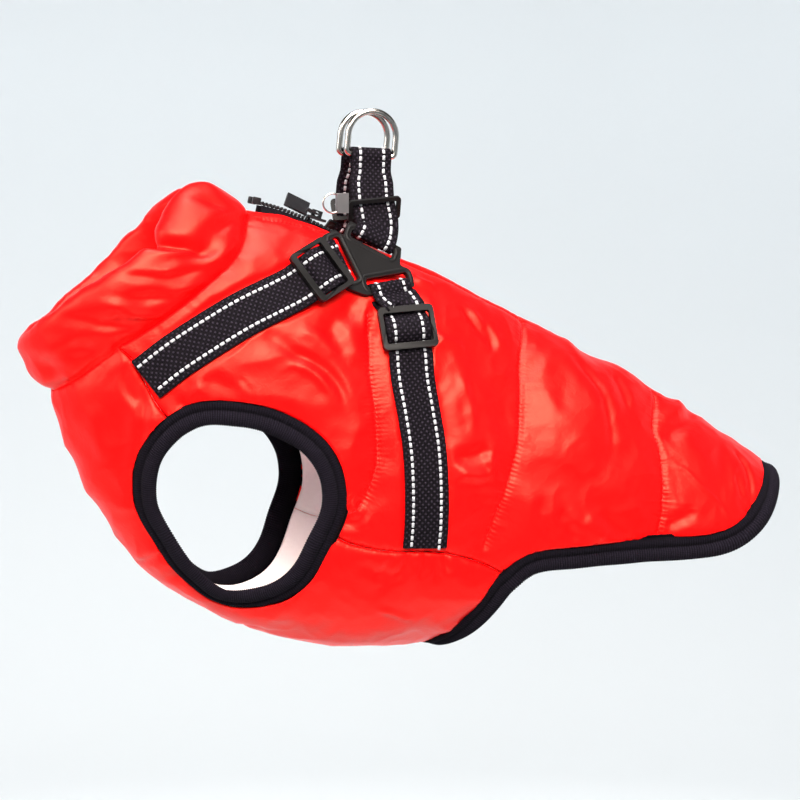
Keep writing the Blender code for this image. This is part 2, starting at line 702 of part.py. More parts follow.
def make_slider():
    """Slider body on the teeth, with the crown that its pull tab turns on."""
    length, width, wall = SLIDER_SIZE
    body = solid_box((length, width, wall), (0, 0, (SLIDER_GAP + wall) / 2))
    combine(body, solid_box((length, LOWER_PLATE_WIDTH, wall), (0, 0, -(SLIDER_GAP + wall) / 2)), "UNION")
    wedge = solid_box((*WEDGE_SIZE, SLIDER_GAP + wall), (WEDGE_INSET - length / 2, 0, 0))
    combine(body, wedge, "UNION")
    crown_height = SLIDER_GAP / 2 + wall + CROWN_SIZE[2] / 2 - CROWN_SINK
    crown = solid_box(CROWN_SIZE, (0, 0, crown_height))
    combine(crown, cylinder(CROWN_HOLE, CROWN_SIZE[0], (0, 0, crown_height)), "DIFFERENCE")
    combine(body, crown, "UNION")
    ridge = Vector(torso(SLIDER_U, 0.0)) + Vector((0, 0, at_column(ZIP, "u", SLIDER_U).rise))
    frame = Matrix.Translation(ridge * MM) @ zip_slope(SLIDER_U)
    place(body, frame)
    rename(body, "zip_slider", "plastic")
    make_pull(frame @ Matrix.Translation(Vector((0, 0, crown_height)) * MM))


def make_pull(hinge):
    """The pull tab: a flat neck with its eye on the crown, and a blade rolled towards the wearer's left."""
    length, width, wall = PULL_SIZE
    neck_length, neck_width = PULL_NECK
    tab = solid_box((neck_length, neck_width, wall), (PULL_END - neck_length / 2, 0, 0))
    combine(tab, solid_box((*PULL_EYE, wall * 3), (-(PULL_BAR + PULL_EYE[0]) / 2 - 0.4, 0, 0)), "DIFFERENCE")
    clear = (PULL_BAR + wall) / 2 + PULL_PLAY
    for height in (clear, -clear):
        combine(tab, solid_box((PULL_TRIM, width * 2, wall), (0.2, 0, height)), "DIFFERENCE")
    nose = solid_box((PULL_TRIM, width * 2, wall * 3), ((PULL_TRIM + PULL_BAR) / 2, 0, 0))
    combine(tab, nose, "DIFFERENCE")
    blade_length = length - neck_length + PULL_LAP
    blade = solid_box((blade_length, width, wall), (PULL_END - length + blade_length / 2, 0, 0))
    place(blade, Matrix.Rotation(math.radians(PULL_ROLL), 4, "X"))
    combine(tab, blade, "UNION")
    place(tab, hinge @ Matrix.Rotation(math.radians(PULL_ANGLE), 4, "Y"))
    rename(tab, "zip_pull", "plastic")


# ---- harness: the plane that the junction plate and the ring strap share ---------------------------
def plate_axes():
    """Along the back, up the plate and out of it."""
    yaw, lean = math.radians(PLATE_YAW), math.radians(PLATE_LEAN)
    along = Vector((math.cos(yaw), math.sin(yaw), 0.0))
    outward = Vector((math.sin(yaw) * math.cos(lean), -math.cos(yaw) * math.cos(lean), math.sin(lean)))
    return along, outward.cross(along), outward


def plate_point(a, b, out=0.0):
    along, up, outward = plate_axes()
    return PLATE_CENTRE + along * a + up * b + outward * out


def plate_direction(degrees):
    along, up, _ = plate_axes()
    return along * math.cos(math.radians(degrees)) + up * math.sin(math.radians(degrees))


def frame_matrix(origin, x_axis, y_axis):
    x_axis = Vector(x_axis).normalized()
    z_axis = x_axis.cross(Vector(y_axis)).normalized()
    y_axis = z_axis.cross(x_axis)
    matrix = Matrix((x_axis, y_axis, z_axis)).transposed().to_4x4()
    return Matrix.Translation(Vector(origin) * MM) @ matrix


def rounded(corners, radius, steps=3):
    """A closed outline with its corners rounded by arcs."""
    outline = []
    count = len(corners)
    for k, corner in enumerate(corners):
        corner = Vector(corner)
        to_last = (Vector(corners[k - 1]) - corner).normalized()
        to_next = (Vector(corners[(k + 1) % count]) - corner).normalized()
        half = math.acos(max(-1.0, min(1.0, to_last.dot(to_next)))) / 2
        cut = radius / math.tan(half)
        middle = corner + (to_last + to_next).normalized() * (radius / math.sin(half))
        start, end = corner + to_last * cut - middle, corner + to_next * cut - middle
        turn = start.angle_signed(end)
        for step in range(steps + 1):
            angle = -turn * step / steps
            outline.append(middle + Matrix.Rotation(angle, 2) @ start)
    return outline


def rectangle(length, width, radius, centre=(0.0, 0.0), turn=0.0):
    """A rounded rectangle, its length turned by degrees from the first axis."""
    spin = Matrix.Rotation(math.radians(turn), 2)
    half = Vector((length / 2, width / 2))
    corners = [spin @ Vector((x, y)) + Vector(centre)
               for x, y in ((-half.x, -half.y), (half.x, -half.y), (half.x, half.y), (-half.x, half.y))]
    return rounded(corners, radius)


def flat_solid(outlines, wall):
    """A flat plate from an outline and its holes, as a mesh with welded caps."""
    curve = bpy.data.curves.new("outline", "CURVE")
    curve.dimensions = "2D"
    curve.fill_mode = "BOTH"
    curve.extrude = wall / 2 * MM
    for outline in outlines:
        spline = curve.splines.new("POLY")
        spline.points.add(len(outline) - 1)
        for point, corner in zip(spline.points, outline):
            point.co = (corner[0] * MM, corner[1] * MM, 0.0, 1.0)
        spline.use_cyclic_u = True
    drawn = bpy.data.objects.new("outline", curve)
    bpy.context.scene.collection.objects.link(drawn)
    bpy.context.view_layer.update()
    mesh = bpy.data.meshes.new_from_object(drawn.evaluated_get(bpy.context.evaluated_depsgraph_get()))
    bpy.data.objects.remove(drawn)
    bm = bmesh.new()
    bm.from_mesh(mesh)
    bmesh.ops.remove_doubles(bm, verts=bm.verts[:], dist=0.00001)
    bmesh.ops.recalc_face_normals(bm, faces=bm.faces[:])
    bm.to_mesh(mesh)
    bm.free()
    return mesh


PLATE_OUTLINE = ((-27.9, 15.9), (-19.6, 19.2), (-14.9, 15.2), (-9.3, 24.6), (18.9, 7.5), (15.8, -2.6),
                 (20.9, -6.4), (22.3, -15.8), (-8.6, -20.2), (-18.9, -16.0))


def make_plate():
    holes = [rectangle(slot.length, SLOT_WIDTH, 1.6, (slot.a, slot.b), slot.turn)
             for slot in (CHEST_SLOT, RING_SLOT, GIRTH_SLOT)]
    mesh = flat_solid([rounded(PLATE_OUTLINE, 1.2, 2)] + holes, PLATE_WALL)
    along, up, _ = plate_axes()
    mesh.transform(frame_matrix(PLATE_CENTRE, along, up))
    left = add_object("junction_left", mesh, "plastic")
    mirrored(left, "junction_right", "plastic")


# ---- harness: webbing ------------------------------------------------------------------------------
RouteStation = namedtuple("RouteStation", "point normal width_direction")


def cloth_station(x, z, lift, roll=0.0, across=(1.0, 0.0)):
    """A station of a strap on the cloth; across is the strap's width direction in the side view."""
    u, v = torso_place((x, z))
    normal = Vector(torso_normal(u, v))
    width = Vector((across[0], 0.0, across[1]))
    width = (width - normal * width.dot(normal)).normalized()
    turn = Matrix.Rotation(math.radians(roll), 3, width.cross(normal))
    return RouteStation(Vector(torso(u, v)) + normal * lift, turn @ normal, turn @ width)


def plate_station(slot, side, beyond=0.0):
    """The middle of the bar beside a slot, or a place beyond it; the strap's width runs along the bar."""
    _, _, outward = plate_axes()
    direction = math.radians(slot.turn + 90)
    offset = side * ((SLOT_WIDTH + BAR_WIDTH) / 2 + beyond)
    point = plate_point(slot.a + offset * math.cos(direction), slot.b + offset * math.sin(direction))
    return RouteStation(point, outward, plate_direction(slot.turn))


class Route:
    """A strap's middle line, with the outward and width directions along it; it runs straight along flat."""

    def __init__(self, stations, flat):
        table = np.array([[*s.point, *s.normal, *s.width_direction] for s in stations])
        keys = np.concatenate([[0.0], np.cumsum(np.linalg.norm(np.diff(table[:, :3], axis=0), axis=1))])
        fine = np.array([through_keys(table, keys, t) for t in np.linspace(0, keys[-1], 24 * len(table))])
        self.run = np.concatenate([[0.0], np.cumsum(np.linalg.norm(np.diff(fine[:, :3], axis=0), axis=1))])
        self.table = fine
        self.length = self.run[-1]
        self.flat = flat

    def row(self, s):
        return np.array([np.interp(s, self.run, self.table[:, k]) for k in range(9)])

    def at(self, s):
        """Point, outward normal and width direction at a distance along the strap."""
        inside = min(max(s, 0.0), self.length)
        low, high = max(inside - 0.5, 0.0), min(inside + 0.5, self.length)
        middle = self.row(inside)
        if self.flat[0] <= inside <= self.flat[1]:
            low, high = self.flat
            middle = self.row(low) + (self.row(high) - self.row(low)) * (inside - low) / (high - low)
        behind, ahead = self.row(low), self.row(high)
        tangent = Vector(ahead[:3] - behind[:3]).normalized()
        width = Vector(behind[6:9] + ahead[6:9]).normalized()
        square = min(max(s / self.flat[0], 0.0), 1.0)
        width = (width - tangent * width.dot(tangent) * square).normalized()
        normal = tangent.cross(width).normalized()
        if normal.dot(Vector(middle[3:6])) < 0:
            normal = -normal
        return Vector(middle[:3]) + tangent * (s - inside), normal, width

    def frame(self, s):
        """The frame of a flat piece centred on the straight stretch at s: x across, y back along it, z out."""
        point, normal, _ = self.at(s)
        tangent = (self.at(self.flat[1])[0] - self.at(self.flat[0])[0]).normalized()
        return frame_matrix(point, normal.cross(tangent), -tangent)


def mitre(before, here, after):
    """The shift of a bend's outer face from the webbing's middle line, in the plane of its path."""
    turns = []
    for start, end in ((before, here), (here, after)):
        run = Vector(end) - Vector(start)
        if run.length > 0:
            turns.append(Vector((-run.y, run.x)).normalized())
    middle = (turns[0] + turns[-1]).normalized()
    return middle * (WEB_WALL / 2) / max(middle.dot(turns[0]), 0.7)


def strap(name, route, path, widths=None, closed=False):
    """Webbing along a route; the path lists (distance along, height above the route)."""
    sections = []
    for k, here in enumerate(path):
        before = path[k - 1] if k or closed else here
        after = path[(k + 1) % len(path)] if k + 1 < len(path) or closed else here
        shift = mitre(before, here, after)
        half = (widths[k] if widths else WEB_WIDTH) / 2
        section = []
        for edge, face in ((-1, -1), (1, -1), (1, 1), (-1, 1)):
            point, normal, width = route.at(here[0] + shift.x * face)
            section.append(point + normal * (here[1] + shift.y * face) + width * half * edge)
        sections.append(section)
    left = closed_loft(name, "webbing", sections, capped=not closed, closed_along=closed)
    mirrored(left, name.replace("left", "right"), "webbing")
    return left


BAR_LOOP = ((2.2, -2.8), (0.0, -2.85), (-2.0, -2.5), (-3.1, -1.5), (-3.5, 0.0), (-3.1, 1.5), (-2.0, 2.5),
            (0.0, 2.85))       # round the junction's bar, along the strap and up
THREAD = ((1.7, 0.0), (4.0, 0.1), (6.8, 2.9), (9.6, 4.3), (12.2, 4.4), (14.8, 4.3), (17.6, 2.9), (20.4, 0.1),
          (22.7, 0.0))   # the webbing through the adjuster, along and up
TAIL = ((13.4, -0.2), (10.6, -0.5), (7.2, -3.8))   # and its cut end under the middle bar
STEP = 11.0


def adjuster_path(start, rise, length):
    """Webbing from under the adjuster's middle bar, round the plate's bar and back through the adjuster."""
    under = rise - ADJUSTER_WALL / 2 - 0.4 - WEB_WALL / 2
    path = [(start + s, under + height if under > 1 or height > -1 else -2.2) for s, height in TAIL]
    path += [(s, -2.8) for s in np.linspace(start + 2.6, 4.4, 1 + round(start / 10))]
    path += list(BAR_LOOP)
    if start > 8.0:
        path += [(3.5, 2.2), (8.0, 1.4), (start - 2.5, under + 0.3)]
    path += [(start + s, under + height) for s, height in THREAD]
    path.append((start + 27.0, under * 0.5))
    settled = start + 32.0
    steps = max(3, round((length - settled) / STEP))
    path += [(settled + (length - settled) * k / steps, 0.0) for k in range(steps + 1)]
    return path


def make_adjuster(name, route, start, rise):
    hole = ADJUSTER_WIDTH - 2 * ADJUSTER_RIM
    outlines = [rectangle(ADJUSTER_WIDTH, ADJUSTER_LENGTH, 2.6)]
    for (bar, width), (next_bar, _) in zip(ADJUSTER_BARS, ADJUSTER_BARS[1:]):
        low, high = bar + width, next_bar
        middle = ADJUSTER_LENGTH / 2 - (low + high) / 2
        outlines.append(rectangle(hole, high - low, 1.2, (0.0, middle)))
    mesh = flat_solid(outlines, ADJUSTER_WALL)
    low, width = ADJUSTER_BARS[1]
    for vert in mesh.vertices:
        along = ADJUSTER_LENGTH / 2 - vert.co.y / MM
        if low - 0.2 < along < low + width + 0.2 and vert.co.z > 0 and abs(vert.co.x) < (hole / 2 - 0.3) * MM:
            vert.co.z -= BAR_SINK * MM
    mesh.transform(route.frame(start + ADJUSTER_LENGTH / 2) @ Matrix.Translation((0, 0, rise * MM)))
    left = add_object(name, mesh, "plastic")
    mirrored(left, name.replace("left", "right"), "plastic")


CLOTH_LIFT = 1.9        # a strap's middle above the cloth it lies on
LEAD = 3.4              # a strap leaves its bar square to it, this far
STRAIGHT = 3.6          # and runs straight this far each side of an adjuster


def chest_route():
    return Route((
        plate_station(CHEST_SLOT, -1.0), plate_station(CHEST_SLOT, -1.0, LEAD),
        cloth_station(-33.5, -6.6, 6.4, 0, (0.29, -0.96)), cloth_station(-46, -12.9, 4.0, 0, (0.33, -0.94)),
        cloth_station(-60, -18.8, 2.2, 0, (0.36, -0.93)),
        cloth_station(-78, -26.7, CLOTH_LIFT, 0, (0.40, -0.92)),
        cloth_station(-98, -37.8, CLOTH_LIFT, 0, (0.47, -0.88)),
        cloth_station(-117, -50.0, CLOTH_LIFT, 0, (0.50, -0.86)),
        cloth_station(-131.5, -61.5, CLOTH_LIFT + 0.4, 0, (0.42, -0.90)),
    ), flat=(CHEST_START - 1.0, CHEST_START + ADJUSTER_LENGTH + STRAIGHT))


def girth_route():
    return Route((
        plate_station(GIRTH_SLOT, -1.0), plate_station(GIRTH_SLOT, -1.0, LEAD),
        cloth_station(10.5, -27, 6.4, 12), cloth_station(12.6, -39, 6.2, 11),
        cloth_station(12.2, -51, 4.6, 8), cloth_station(13.0, -64, 2.6, 4),
        cloth_station(15.3, -80, CLOTH_LIFT), cloth_station(18.0, -100, CLOTH_LIFT),
        cloth_station(19.4, -125, CLOTH_LIFT), cloth_station(19.6, -145, CLOTH_LIFT),
        cloth_station(19.2, -156.5, CLOTH_LIFT),
    ), flat=(GIRTH_START - STRAIGHT, GIRTH_START + ADJUSTER_LENGTH + STRAIGHT))


def make_side_straps():
    route = chest_route()
    strap("chest_strap_left", route, adjuster_path(CHEST_START, CHEST_RISE, route.length))
    make_adjuster("chest_adjuster_left", route, CHEST_START, CHEST_RISE)
    route = girth_route()
    strap("girth_strap_left", route, adjuster_path(GIRTH_START, GIRTH_RISE, route.length))
    make_adjuster("girth_adjuster_left", route, GIRTH_START, GIRTH_RISE)


# ---- harness: ring strap, its keeper and the leash ring --------------------------------------------
KEEPER_START = 10.6
KEEPER_LENGTH = 13.4
KEEPER_WIDTH = 30.6
KEEPER_RIM = 2.3
KEEPER_WALL = 2.0
KEEPER_TILT = 38.0
LAYER = 1.0             # each layer's middle from the ring strap's line


def ring_route():
    _, _, outward = plate_axes()
    slope = math.radians(-RING_BAR_SLOPE)
    top_width = Vector((math.cos(slope), 0.0, math.sin(slope)))
    bottom = plate_station(RING_SLOT, 1.0)
    middle_width = (bottom.width_direction * 0.35 + top_width * 0.65).normalized()
    middle = bottom.point.lerp(RING_BAR, 0.52)
    stations = (bottom, plate_station(RING_SLOT, 1.0, LEAD), RouteStation(middle, outward, middle_width),
                RouteStation(RING_BAR, outward, top_width))
    return Route(stations, flat=(KEEPER_START - 1.0, KEEPER_START + KEEPER_LENGTH + 1.0))


SWAY = ((6.0, 0.9), (13.0, 0.4), (21.6, -0.4), (26.6, 0.0))   # both layers' drift, along the strap and out
OVER_RING = ((-11.0, 1.0), (-6.5, 1.7), (-2.8, 2.9), (0.0, 3.35), (2.3, 2.6), (3.4, 0.0), (2.3, -2.6),
             (0.0, -3.35), (-2.8, -2.9), (-6.5, -1.7), (-11.0, -1.0))   # from the ring's bar
ROUND_BAR = ((2.2, -2.75), (-1.4, -2.85), (-2.9, -1.7), (-3.4, 0.0), (-2.9, 1.7), (-1.4, 2.85), (2.2, 2.75))
PINCH_START = 16.0      # below the ring's bar, where the webbing starts to narrow
PINCH_LENGTH = 6.0


def ring_strap_path(top):
    """Both layers of the ring strap, round the ring's bar at the top and the junction's bar below."""
    front = [(s, LAYER + shift) for s, shift in SWAY]
    back = [(s, -LAYER + shift) for s, shift in reversed(SWAY[1:])]
    back.append((SWAY[0][0], -LAYER - SWAY[0][1]))
    return front + [(top + s, height) for s, height in OVER_RING] + back + list(ROUND_BAR)


def make_ring_strap():
    route = ring_route()
    path = ring_strap_path(route.length)
    start = route.length - PINCH_START
    shares = [min(max((s - start) / PINCH_LENGTH, 0.0), 1.0) for s, _ in path]
    widths = [WEB_WIDTH + (RING_WEB_WIDTH - WEB_WIDTH) * share for share in shares]
    strap("ring_strap_left", route, path, widths, closed=True)
    hole = rectangle(KEEPER_WIDTH - 2 * KEEPER_RIM, KEEPER_LENGTH - 2 * KEEPER_RIM, 1.0)
    mesh = flat_solid([rectangle(KEEPER_WIDTH, KEEPER_LENGTH, 2.0), hole], KEEPER_WALL)
    frame = route.frame(KEEPER_START + KEEPER_LENGTH / 2)
    mesh.transform(frame @ Matrix.Rotation(math.radians(-KEEPER_TILT), 4, "X"))
    left = add_object("keeper_left", mesh, "plastic")
    mirrored(left, "keeper_right", "plastic")


RING_CORNER = ((-2.0, 0.0), (-0.5, 0.6), (0.0, 2.4))   # from the bar into the bow, beside and above its end
BOW_START = 0.35


def make_leash_rings():
    """D-shaped ring: a straight bar in the strap's top loop and a bow above it."""
    half = RING_WIDTH / 2 - RING_WIRE
    bow_top = RING_HEIGHT - RING_WIRE
    straight = bow_top - half
    right = [(half + x, z) for x, z in RING_CORNER]
    path = [(x, 0.0) for x in np.linspace(-half - RING_CORNER[0][0], half + RING_CORNER[0][0], 4)]
    path += right[1:] + [(half, straight)]
    for angle in np.linspace(BOW_START, math.pi - BOW_START, 7):
        path.append((half * math.cos(angle), straight + half * math.sin(angle)))
    path += [(-half, straight)] + [(-x, z) for x, z in reversed(right[1:])]
    slope = Matrix.Rotation(math.radians(RING_BAR_SLOPE), 3, "Y")
    for name, side in (("leash_ring_left", LEFT), ("leash_ring_right", -LEFT)):
        centre = Vector((RING_BAR.x, -side * RING_BAR.y, RING_BAR.z))
        tube(name, [centre + slope @ Vector((x, 0.0, z)) for x, z in path], RING_WIRE, "nickel", closed=True)


TAG_SIZE = (6.6, 4.6, 11.0)
WIRE_RING_RADIUS = 5.4
WIRE_RADIUS = 0.5


def make_wire_ring():
    """A thin wire ring through a small grey tag beside the left keeper."""
    route = ring_route()
    point, outward, width = route.at(KEEPER_START + KEEPER_LENGTH - 2.0)
    centre = point - width * (KEEPER_WIDTH / 2 + GAP + TAG_SIZE[0] / 2) + outward * 2.6
    frame = Matrix.Translation(centre * MM)
    tag = solid_box(TAG_SIZE, (0, 0, 0))
    place(tag, frame)
    ring_centre = centre + Vector((-WIRE_RING_RADIUS, 0, 0))
    bpy.ops.mesh.primitive_torus_add(major_radius=WIRE_RING_RADIUS * MM, minor_radius=(WIRE_RADIUS + 0.4) * MM,
                                     major_segments=24, minor_segments=6)
    channel = bpy.context.object
    place(channel, Matrix.Translation(ring_centre * MM) @ Matrix.Rotation(math.radians(90), 4, "X"))
    combine(tag, channel, "DIFFERENCE")
    rename(tag, "keeper_tag", "nickel")
    circle = [ring_centre + Vector((math.cos(a), 0, math.sin(a))) * WIRE_RING_RADIUS
              for a in np.linspace(0, 2 * math.pi, 24, endpoint=False)]
    tube("wire_ring", circle, WIRE_RADIUS, "nickel", closed=True, resolution=1)


def main():
    clear_scene()
    make_panels()
    make_bindings()
    make_collar()
    make_zip()
    make_slider()
    make_plate()
    make_side_straps()
    make_ring_strap()
    make_leash_rings()
    make_wire_ring()


main()
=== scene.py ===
"""Insulated dog jacket with a webbing harness: its cloth, knit, webbing, zip and fittings, and a plain stage.

The CAD model gives the frame: -X is the head end, -Y the wearer's left, +Z up, and the origin lies inside
the back at the withers. Sizes in the tables are in millimetres, as the cutter's are, and every mesh is
written in metres. A place on the torso is (u, v): u counts the rings from the neck to the tail, and v runs
from 0 on the back ridge to 1 on the belly line.
"""
import math
from collections import namedtuple

import bmesh
import bpy
import numpy as np
from mathutils import Matrix, Vector, noise


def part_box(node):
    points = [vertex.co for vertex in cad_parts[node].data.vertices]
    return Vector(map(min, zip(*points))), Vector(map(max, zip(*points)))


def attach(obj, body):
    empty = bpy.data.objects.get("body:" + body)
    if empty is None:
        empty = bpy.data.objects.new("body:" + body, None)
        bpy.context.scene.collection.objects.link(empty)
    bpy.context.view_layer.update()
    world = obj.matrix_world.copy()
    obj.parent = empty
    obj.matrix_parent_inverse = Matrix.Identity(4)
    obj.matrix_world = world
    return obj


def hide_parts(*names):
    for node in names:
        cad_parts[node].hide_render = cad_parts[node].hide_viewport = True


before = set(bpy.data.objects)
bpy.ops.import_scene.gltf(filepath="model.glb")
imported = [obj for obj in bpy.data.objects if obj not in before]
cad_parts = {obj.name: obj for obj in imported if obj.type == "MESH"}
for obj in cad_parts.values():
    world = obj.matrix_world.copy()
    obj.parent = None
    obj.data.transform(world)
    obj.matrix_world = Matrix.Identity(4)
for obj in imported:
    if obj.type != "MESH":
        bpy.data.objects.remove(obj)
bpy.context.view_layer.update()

bl_info = {
    "name": "Dog jacket",
    "version": (1, 0, 0),
    "blender": (4, 5, 0),
    "location": "3D View > Sidebar > Jacket",
    "description": "Sews the finished surfaces of a quilted dog jacket onto its CAD frame",
    "category": "Object",
}

MM = 0.001
LEFT, RIGHT = -1.0, 1.0
SIDES = {"left": LEFT, "right": RIGHT}
BODY = "jacket"
WEB_WIDTH = 25.0


def table(name, columns, *rows):
    """Rows with named columns."""
    row_type = namedtuple(name, columns)
    return tuple(row_type(*row) for row in rows)


def linear(hex_colour):
    """An sRGB hex colour as linear red, green, blue."""
    parts = [int(hex_colour[k:k + 2], 16) / 255 for k in (1, 3, 5)]
    return tuple(c / 12.92 if c <= 0.04045 else ((c + 0.055) / 1.055) ** 2.4 for c in parts)


# ---- the torso and the pattern, as in the cutter's tables ---------------------------------------------
RINGS = table(
    "Ring", "top_x top_z bottom_x bottom_z half_width",
    (-68, 27, -179, -70, 42), (-38, 20, -169, -100, 48), (-9, 10, -151, -137, 54), (21, -3, -119, -177, 58),
    (50, -15, -75, -203, 60), (80, -30, -26, -218, 60), (108, -44, 24, -220, 59), (142, -61.5, 69, -223, 57),
    (186, -86.5, 137, -227, 54), (240, -122, 207, -231, 50), (268, -143, 240, -236, 48)
)
LINING_DEPTH = 4.9
LINING_WALL = 1.8
LINING_STEP = 3.0
LINING_FOLDS = 0.7       # the lining takes this share of the shell's quilting

FRONT_SEAM = ((-145.7, -44.6), (-138, -52), (-128, -72))
SIDE_SEAM = ((-20, -154.5), (0, -158.5), (30, -161), (52, -168))
HEM_CORNER = (66, -175)
HEM_SIDE = ((74, -167.5), (85, -162.5), (117, -160), (160, -158.4), (184, -158), (202, -155), (215, -148),
            (226, -137), (234, -127))
HEM_BELLY = ((60, -182), (50, -200), (39, -214))
HEM_RIDGE_U = 9.03
HEM_BELLY_U = 6.15
ARMHOLE_CENTRE = (-82, -128)
ARMHOLE_RADII = (57, 56, 53, 54, 60, 60, 55, 50, 54, 63, 63.5, 56)      # every 30 degrees
ARMHOLE_FRONT = 130.0
ARMHOLE_REAR = -23.0
NECK_V = 0.64
NECK_BOW = 0.33
NECK_TURN = 5.0
COLLAR_SEAM_U = 0.026
EDGE_V = 0.0006
NECK_FADE = 1.2

ZIP = table(
    "ZipStation", "u opening chain_y rise",
    (0.25, 8.6, 6.2, 6.4), (0.55, 7.4, 5.2, 5.8), (0.90, 5.6, 3.4, 4.6), (1.25, 3.9, 1.9, 3.4),
    (1.70, 3.6, 1.5, 1.4), (3.50, 3.6, 1.5, 0.4), (5.40, 3.6, 1.5, -0.2)
)
ZIP_END_U = 5.40
SEAM_OPENING = 0.2

# ---- what the cloth does between its seams ------------------------------------------------------------
# broad sink and its reach, sharp notch at the thread, fine and coarse puckers
QUILT_LINES = table(
    "Sewing", "name sink reach notch pucker gather places",
    ("shoulder", 2.2, 11.0, 1.2, 1.0, 0.26, ((-9, -28), (-9, -43), (-10, -60), (-8, -86), (-8, -110),
     (-17, -132), (-28, -139))),
    ("ribs", 3.2, 15.0, 1.6, 1.0, 0.26, ((91, -36), (84, -51), (80, -72), (76, -97), (68, -123),
     (62, -139), (55, -159))),
    ("loin", 3.0, 14.0, 1.6, 1.0, 0.26, ((170, -79), (163, -96), (164, -107), (164, -118), (162, -143),
     (159, -158)))
)

